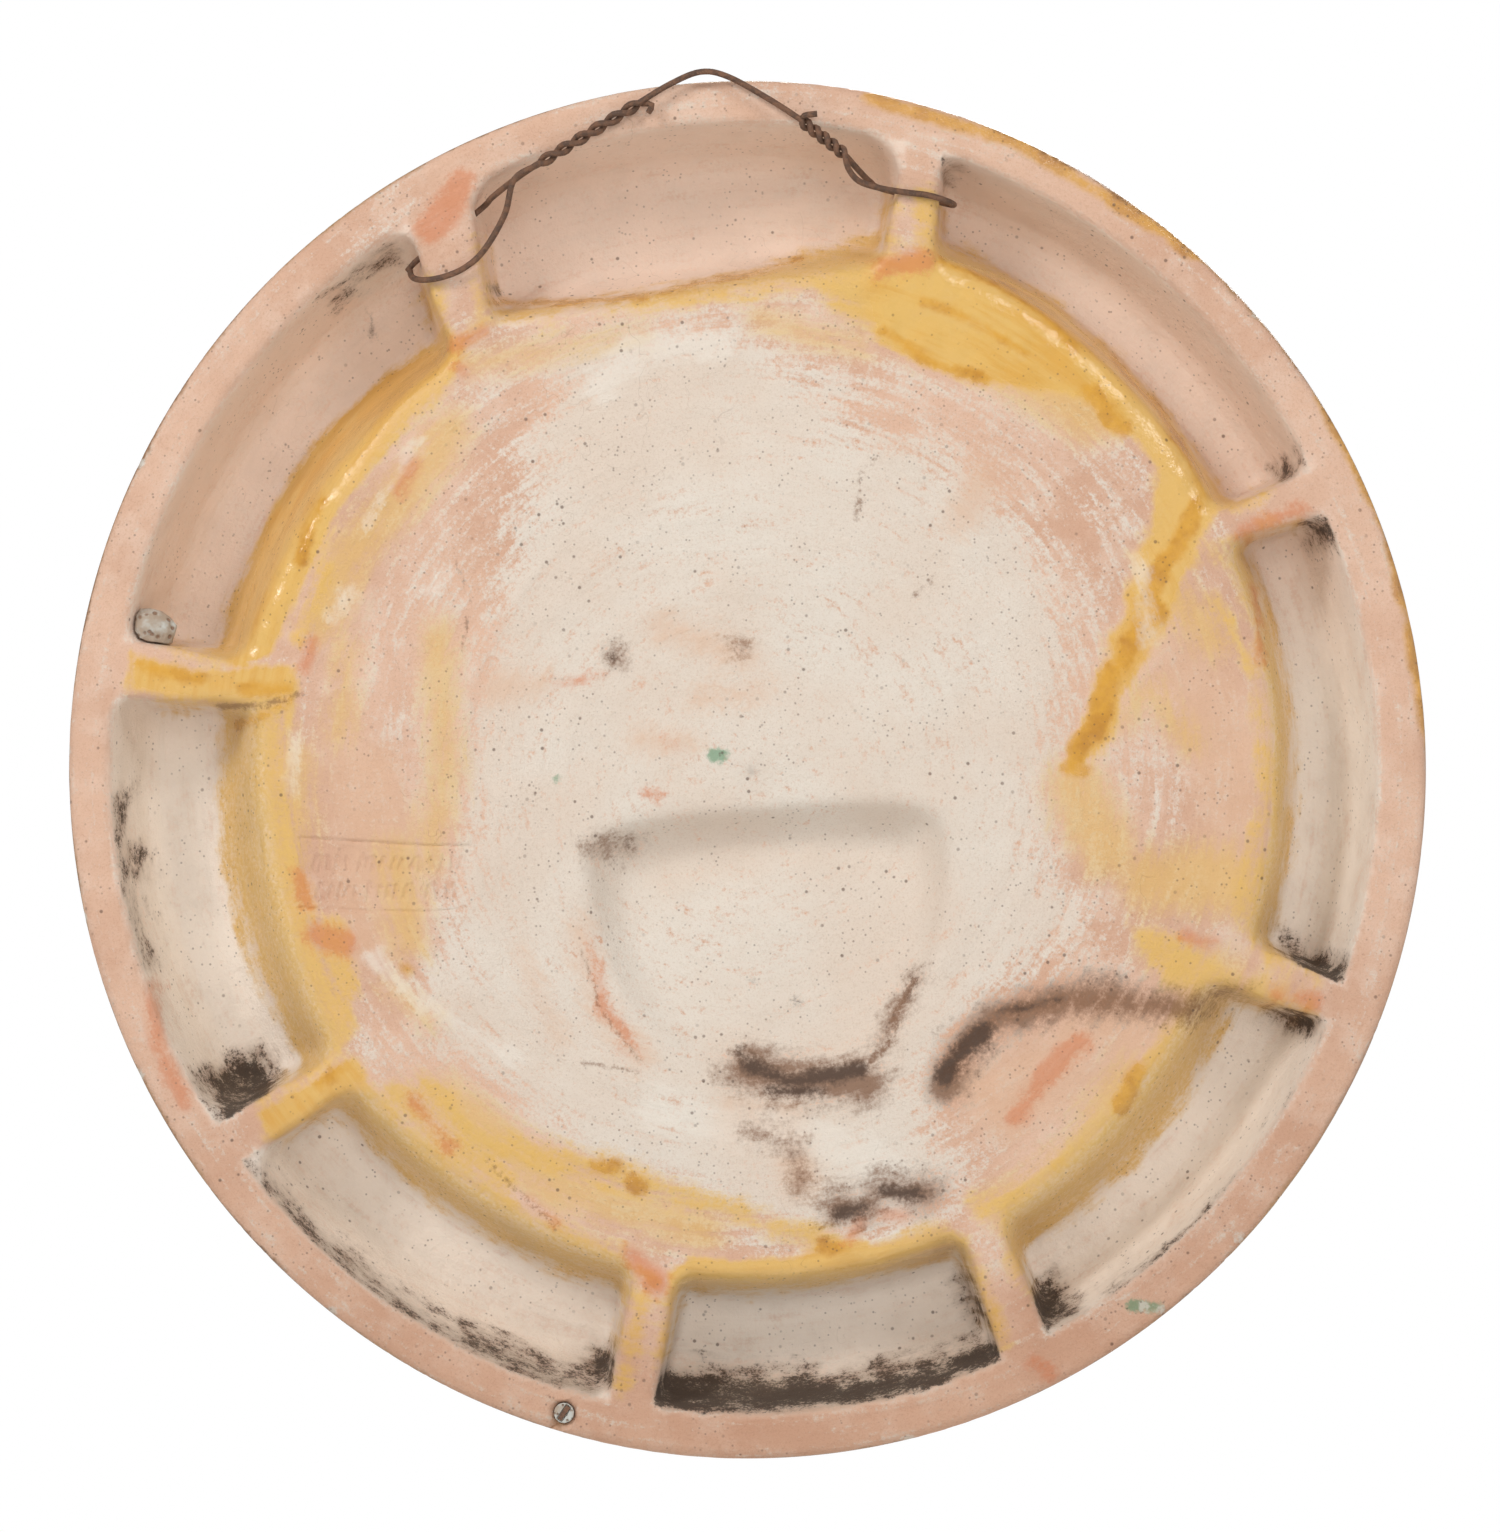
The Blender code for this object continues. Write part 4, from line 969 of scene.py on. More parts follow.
class Shader:
    """Builds one material from nodes, each method returning the socket it makes."""

    def __init__(self, name):
        self.material = bpy.data.materials.new(name)
        self.material.use_nodes = True
        self.tree = self.material.node_tree
        self.tree.nodes.clear()
        self.skin = self.tree.nodes.new("ShaderNodeBsdfPrincipled")
        output = self.tree.nodes.new("ShaderNodeOutputMaterial")
        self.tree.links.new(self.skin.outputs["BSDF"], output.inputs["Surface"])
        self.place = self.tree.nodes.new("ShaderNodeTexCoord").outputs["Object"]

    def put(self, socket, value):
        if isinstance(value, bpy.types.NodeSocket):
            self.tree.links.new(value, socket)
        elif isinstance(value, (tuple, Color)) and socket.type == "RGBA":
            socket.default_value = (*value, 1.0)
        else:
            socket.default_value = value

    def node(self, kind, *inputs, **settings):
        made = self.tree.nodes.new(kind)
        for key, value in settings.items():
            setattr(made, key, value)
        for key, value in inputs:
            self.put(made.inputs[key], value)
        return made

    def sum(self, operation, a, b=0.0, c=0.0):
        made = self.node("ShaderNodeMath", (0, a), (1, b), (2, c), operation=operation)
        return made.outputs[0]

    def add(self, a, b):
        return self.sum("ADD", a, b)

    def times(self, a, b):
        return self.sum("MULTIPLY", a, b)

    def rise(self, value, low, high, start=0.0, finish=1.0):
        """A smooth rise from start to finish as the value goes from low to high."""
        made = self.node(
            "ShaderNodeMapRange", ("Value", value), ("From Min", low), ("From Max", high),
            ("To Min", start), ("To Max", finish), interpolation_type="SMOOTHSTEP"
        )
        return made.outputs["Result"]

    def mix(self, share, a, b, blend="MIX"):
        made = self.node("ShaderNodeMix", data_type="RGBA", blend_type=blend)
        self.put(made.inputs[0], share)
        self.put(made.inputs[6], a)
        self.put(made.inputs[7], b)
        return made.outputs[2]

    def blend(self, share, a, b):
        """A number between two."""
        made = self.node("ShaderNodeMix", data_type="FLOAT")
        self.put(made.inputs[0], share)
        self.put(made.inputs[2], a)
        self.put(made.inputs[3], b)
        return made.outputs[0]

    def noise(self, scale, detail=2.0, rough=0.5, vector=None, output="Fac"):
        made = self.node(
            "ShaderNodeTexNoise", ("Vector", vector or self.place), ("Scale", scale), ("Detail", detail),
            ("Roughness", rough)
        )
        return made.outputs[output]

    def cells(self, scale, feature="F1", vector=None):
        place = ("Vector", vector or self.place)
        return self.node("ShaderNodeTexVoronoi", place, ("Scale", scale), feature=feature).outputs["Distance"]

    def shifted(self, offset):
        return self.node("ShaderNodeVectorMath", (0, self.place), (1, offset), operation="ADD").outputs[0]

    def stored(self, name, output="Fac"):
        return self.node("ShaderNodeAttribute", attribute_name=name).outputs[output]

    def bump(self, height, reach):
        made = self.node("ShaderNodeBump", ("Height", height), ("Distance", reach), ("Strength", 1.0))
        return made.outputs["Normal"]

    def finish(self, colour, rough, normal=None, fixed=None):
        self.put(self.skin.inputs["Base Color"], colour)
        self.put(self.skin.inputs["Roughness"], rough)
        if normal:
            self.put(self.skin.inputs["Normal"], normal)
        for key, value in (fixed or {}).items():
            self.skin.inputs[key].default_value = value
        return self.material


def around(shader):
    """Coordinates that run round the plaque without a seam, stretched along the way they run."""
    parts = shader.node("ShaderNodeSeparateXYZ", (0, shader.shifted(tuple(-CENTRE))))
    x, z = parts.outputs[0], parts.outputs[2]
    radius = shader.sum("SQRT", shader.add(shader.times(x, x), shader.times(z, z)))
    safe = shader.sum("MAXIMUM", radius, 0.001)
    sin, cos = (shader.sum("DIVIDE", part, safe) for part in (x, z))
    joined = shader.node(
        "ShaderNodeCombineXYZ", (0, shader.times(sin, 5.0)), (1, shader.times(cos, 5.0)),
        (2, shader.times(radius, 300.0))
    )
    return joined.outputs[0], radius, parts.outputs[1]


def back_material(colours):
    """Bare clay under slip, with smeared yellow glaze, stains and dirt, painted light in the pockets and
    painted shade low on the back, mixed from the painted fields.
    """
    s = Shader("majolica back")
    turned, radius, depth = around(s)
    large = s.noise(16.0, 3.0, 0.55)
    middle = s.noise(85.0, 4.0, 0.62)
    grain = s.noise(640.0, 4.0, 0.75)
    fine = s.noise(1500.0, 3.0, 0.7)
    streak = s.noise(1.0, 4.0, 0.62, vector=turned)

    def off(noise, reach):
        """How far a noise draws an edge out or in."""
        return s.times(s.add(noise, -0.5), reach)

    def layer(under, name, ragged, low, high, share, over):
        """One painted mark over the colour under it, its edge made ragged, and how far it covers."""
        cover = s.rise(s.add(s.stored(name), ragged), low, high)
        return s.mix(s.times(cover, share), under, over), cover

    clay = s.mix(s.rise(large, 0.35, 0.65), colours.clay_dark, colours.clay)
    clay = s.mix(s.times(s.rise(middle, 0.4, 0.7), 0.5), clay, colours.clay_pale)
    clay = s.mix(s.times(s.rise(grain, 0.48, 0.68), 0.55), clay, colours.clay_dark)
    cream = s.mix(s.rise(large, 0.35, 0.65), colours.slip, colours.slip_warm)
    cream = s.mix(s.times(s.rise(s.add(middle, off(grain, 0.8)), 0.5, 0.75), 0.50), cream, colours.slip_warm)

    uneven = s.add(s.add(off(streak, 1.9), off(grain, 2.2)), s.add(off(middle, 0.7), off(large, 0.3)))
    cover = s.rise(s.add(s.stored("slip"), uneven), 0.18, 0.84)
    colour = s.mix(cover, clay, cream)
    colour = s.mix(s.rise(fine, 0.50, 0.68, 0.0, 0.42), colour, s.mix(1.0, colour, colours.sand, "MULTIPLY"))
    rough = s.blend(cover, 0.88, 0.72)
    brushed = s.add(off(streak, 22.0), off(grain, 16.0))
    colour, _ = layer(colour, "smudge", brushed, -5.0, 7.0, 0.55, colours.smudge)
    brushed = s.add(off(streak, 24.0), off(grain, 16.0))
    colour, _ = layer(colour, "wash", brushed, -6.0, 8.0, 0.62, colours.yellow)
    inside = s.stored("inside")
    # Painted light in the pockets: pink slip in the upper ones and paler cream in the lower ones, both
    # brightened against the pockets' shade.
    lining_and_light = s.mix(s.stored("lower_pocket_cream_and_light"), colours.pocket, colours.pocket_cream_and_light)
    lined = s.rise(s.add(middle, off(streak, 0.6)), 0.2, 0.6, 0.50, 0.85)
    colour = s.mix(s.times(inside, lined), colour, lining_and_light)

    ragged = s.add(s.add(off(middle, 16.0), off(grain, 5.0)), off(streak, 11.0))
    rough_edge = s.add(off(middle, 5.0), off(grain, 4.5))
    glossy = s.stored("glossy")
    field = s.add(s.stored("yellow"), s.add(s.times(ragged, s.blend(glossy, 1.0, 0.35)), 0.6))
    yellow = s.rise(field, -2.4, s.blend(glossy, 4.5, 0.6))
    thin = s.rise(s.add(grain, off(streak, 0.5)), 0.30, 0.62, 0.66, 1.0)
    yellow = s.times(yellow, s.blend(glossy, thin, 1.0))
    tone = s.mix(s.rise(middle, 0.35, 0.7), colours.yellow, colours.yellow_deep)
    tone = s.mix(s.times(glossy, s.rise(s.add(large, off(streak, 0.9)), 0.36, 0.66)), tone, colours.ochre)
    colour = s.mix(s.times(yellow, 0.93), colour, tone)
    rough = s.blend(yellow, rough, s.blend(glossy, 0.52, 0.17))

    pooled = s.mix(s.rise(middle, 0.4, 0.75), colours.amber, colours.amber_deep)
    colour, amber = layer(colour, "amber", s.add(off(middle, 8.0), off(grain, 1.5)), -1.8, 1.4, 0.80, pooled)
    rough = s.blend(amber, rough, 0.10)
    burnt = s.add(s.add(off(middle, 11.0), off(grain, 8.0)), off(streak, 7.0))
    colour, red = layer(colour, "red", burnt, -1.9, 2.9, 0.66, colours.red)
    rough = s.blend(red, rough, 0.42)
    colour, _ = layer(colour, "pale", ragged, -2.5, 4.0, 0.50, colours.pale)

    colour, _ = layer(colour, "stain", s.add(ragged, off(grain, 9.0)), -6.5, 4.0, 0.86, colours.stain)
    colour, _ = layer(colour, "soot", s.add(off(grain, 6.0), off(middle, 6.0)), -1.3, 2.4, 0.84, colours.soot)
    colour, _ = layer(colour, "green", rough_edge, -1.0, 1.0, 0.75, colours.green)

    edge = s.rise(s.add(depth, off(middle, 0.0050)), 0.0006, 0.0022)
    edge = s.times(edge, s.rise(radius, OUTER_RADIUS - 0.0045, OUTER_RADIUS - 0.0012))
    glaze = s.mix(s.rise(large, 0.4, 0.6), colours.side, colours.side_deep)
    colour = s.mix(s.times(edge, 0.9), colour, glaze)
    rough = s.blend(edge, rough, 0.22)
    colour, chip = layer(colour, "chip", rough_edge, -0.6, 0.8, 0.75, colours.chip)
    rough = s.blend(chip, rough, 0.8)

    where = s.rise(s.noise(24.0, 2.0), 0.44, 0.62)
    specks = s.times(s.rise(s.cells(170.0), 0.14, 0.06), where)
    dots = s.rise(s.cells(420.0, vector=s.shifted((0.3, 0.1, 0.7))), 0.22, 0.10)
    dots = s.times(dots, s.rise(middle, 0.44, 0.58))
    colour = s.mix(s.times(specks, 0.70), colour, colours.speck)
    colour = s.mix(s.times(dots, 0.50), colour, colours.speck)
    bend = s.noise(70.0, output="Color")
    bent = s.node("ShaderNodeVectorMath", (0, bend), (1, s.place), operation="MULTIPLY_ADD")
    bent.inputs[1].default_value = (0.035, 0.035, 0.035)
    s.put(bent.inputs[2], s.place)
    hair = s.rise(s.cells(24.0, "DISTANCE_TO_EDGE", bent.outputs[0]), 0.007, 0.002)
    hair = s.times(hair, s.rise(s.noise(14.0, 1.0), 0.56, 0.66))
    colour = s.mix(s.times(hair, 0.20), colour, colours.stain)
    colour, _ = layer(colour, "crack", off(grain, 4.0), -0.9, 0.5, 0.65, colours.stain)

    # Painted shade, partly ruddier clay: the colour is multiplied darker low on the back.
    colour = s.mix(s.stored("shade"), colour, s.mix(1.0, colour, colours.shade, "MULTIPLY"))
    wide = s.rise(s.add(s.stored("dirt"), ragged), -6.0, 4.5)
    wide = s.times(wide, s.rise(inside, 0.15, 0.7))
    mould = s.add(s.add(s.times(grain, 0.45), s.times(fine, 0.35)), s.times(middle, 0.40))
    mould = s.add(mould, s.add(s.times(wide, 0.15), s.rise(s.stored("dirt"), 0.5, 4.5, 0.0, 0.10)))
    mould = s.times(s.rise(mould, 0.69, 0.83), s.rise(wide, 0.08, 0.45))
    colour = s.mix(s.times(wide, 0.80), colour, s.mix(s.rise(middle, 0.4, 0.6), colours.dust, colours.stain))
    colour = s.mix(s.times(mould, 0.88), colour, colours.dirt)
    rough = s.blend(wide, rough, 0.95)
    dusty = s.times(inside, s.rise(s.add(s.noise(38.0, 3.0), off(streak, 0.5)), 0.48, 0.85))
    colour = s.mix(s.times(dusty, 0.14), colour, colours.dust)

    height = s.add(s.add(s.times(grain, 0.75), s.times(fine, 0.20)), s.times(streak, 0.8))
    height = s.add(s.times(height, s.blend(glossy, 1.0, 0.25)), s.times(middle, 1.3))
    return s.finish(colour, rough, s.bump(height, 0.00062))


def front_material(colours):
    """Glossy coloured glaze, pooled darker in random patches, with fine crazing."""
    s = Shader("majolica front")
    paint = s.stored("glaze", "Color")
    middle = s.noise(70.0, 3.0, 0.6)
    grain = s.noise(420.0, 2.0)
    colour = s.mix(s.rise(middle, 0.3, 0.75, 0.0, 0.30), paint, s.mix(1.0, paint, colours.pool, "MULTIPLY"))
    colour = s.mix(s.times(s.rise(grain, 0.6, 0.75), 0.12), colour, colours.slip)
    craze = s.rise(s.cells(260.0, "DISTANCE_TO_EDGE"), 0.030, 0.008)
    colour = s.mix(s.times(craze, s.rise(s.noise(18.0), 0.45, 0.65, 0.0, 0.22)), colour, colours.stain)
    pits = s.rise(s.cells(160.0), 0.085, 0.04)
    colour = s.mix(s.times(pits, 0.5), colour, colours.stain)
    height = s.add(s.times(middle, 1.0), s.add(s.times(grain, 0.10), s.times(pits, -0.25)))
    coat = {"Coat Weight": 0.3, "Coat Roughness": 0.06}
    return s.finish(colour, s.rise(middle, 0.3, 0.7, 0.14, 0.26), s.bump(height, 0.00030), coat)


def rust_material(colours):
    s = Shader("rusty iron")
    middle, grain = s.noise(420.0, 3.0, 0.65), s.noise(1900.0, 3.0, 0.7)
    colour = s.mix(s.rise(middle, 0.38, 0.66), colours.iron, colours.rust)
    colour = s.mix(s.times(s.rise(grain, 0.55, 0.75), 0.6), colour, colours.rust_pale)
    normal = s.bump(s.add(middle, s.times(grain, 0.7)), 0.00022)
    return s.finish(colour, s.rise(middle, 0.3, 0.7, 0.55, 0.85), normal, {"Metallic": 0.15})


def plaster_material(colours, name="old plaster", pits=150.0):
    s = Shader(name)
    middle, grain = s.noise(160.0, 3.0, 0.6), s.noise(1300.0, 3.0, 0.7)
    colour = s.mix(s.rise(middle, 0.35, 0.68), colours.plaster, colours.plaster_pale)
    holes = s.rise(s.cells(pits), 0.36, 0.16)
    colour = s.mix(s.times(holes, 0.75), colour, colours.stain)
    colour = s.mix(s.times(s.rise(grain, 0.6, 0.8), 0.4), colour, colours.stain)
    height = s.add(s.times(middle, 0.8), s.add(s.times(grain, 0.35), s.times(holes, -0.8)))
    return s.finish(colour, 0.9, s.bump(height, 0.0005))


def keep_field(thing, name, values):
    stored = thing.data.attributes.new(name, "FLOAT", "POINT")
    stored.data.foreach_set("value", np.ascontiguousarray(values, dtype=np.float32))


def front_rings():
    """Radii at which the front's glaze changes its colour."""
    inner = OUTER_RADIUS - RING_WIDTH
    return OUTER_RADIUS - FIELD_INSET, inner + BEAD_HEIGHT, OUTER_RADIUS - RING_SHOULDER_INSET * 0.8


def glaze_borders(shows):
    """Map of the places where the front's forms and colours meet, which keep their fine faces."""
    radius = GRID.radius * OUTER_RADIUS / rim_radius(GRID.clock)
    found = sum(np.abs(step).clip(0, 1) for step in np.gradient(shows)) + (shows >= 1)
    for ring in front_rings():
        found = found + (np.abs(radius - ring) < 0.0012)
    return GRID.blur(np.clip(found + (radius > OUTER_RADIUS - RING_SHOULDER_INSET - 0.003), 0, 1), 0.0027)


def spread(shows, steps=4):
    """Lets the colour of fruit, leaves and basket run a little way over the ground beside them."""
    for _ in range(steps):
        beside = np.maximum.reduce([np.roll(shows, step, axis) for step in (-1, 1) for axis in (0, 1)])
        shows = np.where(shows >= 0.5, shows, beside)
    return shows


def glaze_colours(shows, x, z, colours):
    """The front's glaze colour at each place, its edges a little run."""
    radius = GRID.radius * OUTER_RADIUS / rim_radius(GRID.clock)
    shows = spread(shows)
    painted = np.empty((*shows.shape, 3))
    painted[:] = colours.slip
    for ring, glaze in zip(front_rings(), (colours.ring, colours.ring_ground, colours.side)):
        painted[radius > ring] = glaze
    painted[shows == 0.5] = colours.bowl
    painted[shows == 1.0] = colours.leaf
    fruits = (colours.fruit_orange, colours.fruit_amber, colours.fruit_green)
    for number in range(2, int(shows.max()) + 1):
        painted[shows == number] = fruits[(number * 7 // 3) % 3]
    found = np.ones((len(x), 4))
    for channel in range(3):
        found[:, channel] = GRID.read(GRID.blur(painted[..., channel], 0.0007), x, z)
    return np.clip(found, 0.0, 1.0)


def colour(name, description, default):
    return bpy.props.FloatVectorProperty(
        name=name, description=description, default=default, subtype="COLOR", min=0.0, max=1.0
    )


def length(name, description, default):
    return bpy.props.FloatProperty(
        name=name, description=description, default=default, unit="LENGTH", min=0.00005
    )


class PlaqueSizes(bpy.types.PropertyGroup):
    skin: length("Skin", "Edge length of the plaque's even skin before it is thinned", 0.00205)
    wire: length("Wire", "Diameter of the wire as shown", 0.00216)
    plug_skin: length("Plug skin", "Edge length of the plug's mesh", 0.00022)
    pin_skin: length("Pin skin", "Edge length of the pin's mesh", 0.00014)
    dab_skin: length("Dab skin", "Edge length of the plaster dab's mesh", 0.0004)
    budget: bpy.props.IntProperty(
        name="Triangles", description="Most triangles of the plaque's mesh before its writing is divided",
        default=181000, min=1000, max=184000
    )


class PlaqueColours(bpy.types.PropertyGroup):
    clay: colour("Clay", "Bare fired clay", (0.66, 0.43, 0.31))
    clay_dark: colour("Dark clay", "Darker and redder clay", (0.58, 0.35, 0.24))
    clay_pale: colour("Pale clay", "Clay dusted by handling", (0.71, 0.52, 0.41))
    slip: colour("Slip", "Cream slip", (0.685, 0.612, 0.530))
    slip_warm: colour("Warm slip", "Slip where it is thin", (0.66, 0.55, 0.455))
    # Pink and cream slip of the pockets, brightened as painted light against their shade.
    pocket: colour("Pockets", "Pink slip in the upper pockets", (0.78, 0.58, 0.46))
    pocket_cream_and_light: colour("Pale pockets", "Cream slip in the other pockets", (0.86, 0.76, 0.66))
    smudge: colour("Smudge", "Orange-pink smudges in the slip", (0.64, 0.40, 0.26))
    pale: colour("Pale wash", "White slip where it is thickest", (0.74, 0.68, 0.60))
    yellow: colour("Yellow", "Thin matt yellow glaze", (0.66, 0.41, 0.115))
    yellow_deep: colour("Deep yellow", "Thicker yellow glaze", (0.67, 0.40, 0.10))
    ochre: colour("Ochre", "Thick glossy yellow glaze", (0.62, 0.33, 0.055))
    amber: colour("Amber", "Pooled amber glaze", (0.62, 0.31, 0.035))
    amber_deep: colour("Deep amber", "Amber glaze at its thickest", (0.42, 0.17, 0.015))
    red: colour("Red", "Red-orange burnt patches", (0.57, 0.18, 0.06))
    stain: colour("Stain", "Brown stains and old pits", (0.19, 0.085, 0.038))
    soot: colour("Soot", "The stains' dark cores", (0.055, 0.030, 0.019))
    green: colour("Green", "Spots of green glaze", (0.12, 0.28, 0.16))
    chip: colour("Chip", "Pale chips of the rim's edge", (0.68, 0.65, 0.58))
    side: colour("Edge glaze", "Ochre-brown glaze of the side", (0.42, 0.22, 0.07))
    side_deep: colour("Deep edge glaze", "The same where it pooled", (0.26, 0.12, 0.04))
    sand: colour("Sand", "What clay is multiplied by between its grains", (0.78, 0.68, 0.60))
    speck: colour("Specks", "Dark specks and hair cracks", (0.10, 0.055, 0.035))
    # Painted shade, partly ruddier clay: what the clay is multiplied by low on the back.
    shade: colour("Shade", "Ruddier clay low on the back", (0.66, 0.53, 0.44))
    dirt: colour("Dirt", "Black dirt in the corners", (0.040, 0.028, 0.020))
    dust: colour("Dust", "Grey-brown dust", (0.25, 0.165, 0.105))
    ring: colour("Ring", "Yellow glaze of the front's mouldings", (0.60, 0.38, 0.10))
    ring_ground: colour("Ring ground", "Glaze between the front's fruit and leaves", (0.66, 0.53, 0.34))
    bowl: colour("Bowl", "Ochre glaze of the front's bowl", (0.55, 0.33, 0.08))
    leaf: colour("Leaves", "Green glaze", (0.095, 0.165, 0.04))
    fruit_orange: colour("Orange fruit", "Orange glaze", (0.58, 0.20, 0.04))
    fruit_amber: colour("Amber fruit", "Amber glaze", (0.62, 0.34, 0.06))
    fruit_green: colour("Green fruit", "Yellow-green glaze", (0.34, 0.32, 0.06))
    pool: colour("Pooled glaze", "What glaze is multiplied by where it is thick", (0.70, 0.60, 0.48))
    iron: colour("Iron", "Dark rusty iron", (0.085, 0.045, 0.028))
    rust: colour("Rust", "Brown rust", (0.19, 0.095, 0.055))
    rust_pale: colour("Pale rust", "Dusty rust", (0.30, 0.19, 0.13))
    plaster: colour("Plaster", "Grey-brown plaster", (0.36, 0.28, 0.21))
    plaster_pale: colour("Pale plaster", "Grey-white plaster", (0.50, 0.50, 0.46))
    floor: colour("Floor", "The studio floor", (0.86, 0.86, 0.85))


def refine_writing(thing):
    """Divides the faces under the worn band of writing, so that its strokes show."""
    make_active(thing)
    across, up = zip(*run(294, 831, 474, 831, 474, 917, 294, 917))
    low_x, high_x = CENTRE.x + min(across), CENTRE.x + max(across)
    low_z, high_z = CENTRE.z + min(up), CENTRE.z + max(up)
    bpy.ops.object.mode_set(mode="EDIT")
    bpy.ops.mesh.select_all(action="DESELECT")
    bpy.ops.object.mode_set(mode="OBJECT")
    for face in thing.data.polygons:
        x, y, z = face.center
        face.select = low_x < x < high_x and low_z < z < high_z and y < CENTRE.y + FIELD_DEPTH / 2
    bpy.ops.object.mode_set(mode="EDIT")
    bpy.ops.mesh.subdivide(number_cuts=3)
    bpy.ops.mesh.select_all(action="SELECT")
    bpy.ops.mesh.quads_convert_to_tris()
    bpy.ops.object.mode_set(mode="OBJECT")


class PLAQUE_OT_body(bpy.types.Operator):
    """Gives the plaque its worked clay back and its glazed front"""
    bl_idname = "plaque.body"
    bl_label = "Clay body"

    def execute(self, context):
        sizes, colours = context.scene.plaque_sizes, context.scene.plaque_colours
        thing = merged_copy("plaque", "plaque_clay")
        skin = thing.modifiers.new("even skin", "REMESH")
        skin.mode = "VOXEL"
        skin.voxel_size = sizes.skin
        apply_modifiers(thing)
        paints = paint_maps()
        surface = Surface(paints)
        centre = np.array(CENTRE)
        places = surface.settle(places_of(thing) - centre, 3)
        put_places(thing, places + centre)
        back, front, side = surface.sides(places)
        group = thing.vertex_groups.new(name="thinned")
        borders = GRID.read(glaze_borders(surface.shows), *places.T[::2])
        plain = (front > back) & (front > side) & (borders < 0.03)
        for share, chosen in ((1.0, plain), (0.30, ~plain)):
            group.add(np.flatnonzero(chosen).tolist(), share, "REPLACE")
        thin = thing.modifiers.new("thinned", "DECIMATE")
        thin.vertex_group = group.name
        thing.data.calc_loop_triangles()
        thin.ratio = min(1.0, sizes.budget / len(thing.data.loop_triangles))
        thin.use_collapse_triangulate = True
        apply_modifiers(thing)
        put_places(thing, surface.settle(places_of(thing) - centre, 3) + centre)
        thing.vertex_groups.clear()
        refine_writing(thing)
        places = surface.settle(places_of(thing) - centre, 2)
        put_places(thing, places + centre)

        x, z = places[:, 0], places[:, 2]
        for name, field in paints.items():
            keep_field(thing, name, GRID.read(field, x, z))
        stored = thing.data.attributes.new("glaze", "FLOAT_COLOR", "POINT")
        glaze = glaze_colours(surface.shows, x, z, colours)
        stored.data.foreach_set("color", np.ascontiguousarray(glaze, dtype=np.float32).ravel())

        thing.data.materials.append(back_material(colours))
        thing.data.materials.append(front_material(colours))
        back, front, side = surface.sides(places)
        glazed = (np.maximum(front, side) > back) & (places[:, 1] > 0.012)
        corners = np.empty(len(thing.data.polygons) * 3, dtype=np.int32)
        thing.data.polygons.foreach_get("vertices", corners)
        chosen = glazed[corners.reshape(-1, 3)].sum(1) >= 2
        thing.data.polygons.foreach_set("material_index", chosen.astype(np.int32))
        smooth_shading(thing)
        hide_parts("plaque")
        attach(thing, "root")
        return {"FINISHED"}


class PLAQUE_OT_wire(bpy.types.Operator):
    """Makes the rusty hanging wire, twisted on itself at both ends"""
    bl_idname = "plaque.wire"
    bl_label = "Hanging wire"

    def execute(self, context):
        sizes, colours = context.scene.plaque_sizes, context.scene.plaque_colours
        deselect()
        bpy.ops.curve.primitive_bezier_curve_add()
        thing = context.object
        thing.name = "wire"
        curve = thing.data
        curve.splines.clear()
        curve.dimensions = "3D"
        curve.bevel_depth = sizes.wire / 2
        curve.bevel_resolution = 4
        curve.use_fill_caps = True
        route = wire_route()
        spline = curve.splines.new("POLY")
        spline.points.add(len(route) - 1)
        draw = np.random.default_rng(15)
        worn = np.convolve(draw.uniform(-1, 1, len(route) + 4), np.ones(5) / 5, "valid")
        for point, place, share in zip(spline.points, route, worn):
            point.co = (*place, 1.0)
            point.radius = 0.975 + 0.05 * share
        make_active(thing)
        bpy.ops.object.convert(target="MESH")
        put_places(thing, places_of(thing))
        thing.data.materials.clear()
        thing.data.materials.append(rust_material(colours))
        smooth_shading(thing)
        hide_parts("hanging_wire")
        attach(thing, "root")
        return {"FINISHED"}


def refined(node, name, skin, smooth, material):
    """A finer copy of a small node, with softened corners."""
    thing = merged_copy(node, name)
    remesh = thing.modifiers.new("fine skin", "REMESH")
    remesh.mode = "VOXEL"
    remesh.voxel_size = skin
    soften = thing.modifiers.new("softened", "SMOOTH")
    soften.factor = 0.5
    soften.iterations = smooth
    apply_modifiers(thing)
    thing.data.materials.append(material)
    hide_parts(node)
    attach(thing, "root")
    return thing


class PLAQUE_OT_plug(bpy.types.Operator):
    """Makes the pale plug in the rim and the rusty pin in it"""
    bl_idname = "plaque.plug"
    bl_label = "Rim plug and pin"

    def execute(self, context):
        sizes, colours = context.scene.plaque_sizes, context.scene.plaque_colours
        plaster = plaster_material(colours, "plug plaster", 700.0)
        plug = refined("rim_plug", "plug", sizes.plug_skin, 2, plaster)
        smooth_shading(plug)
        pin = refined("rim_pin", "pin", sizes.pin_skin, 3, bpy.data.materials["rusty iron"])
        smooth_shading(pin, 80.0)
        return {"FINISHED"}


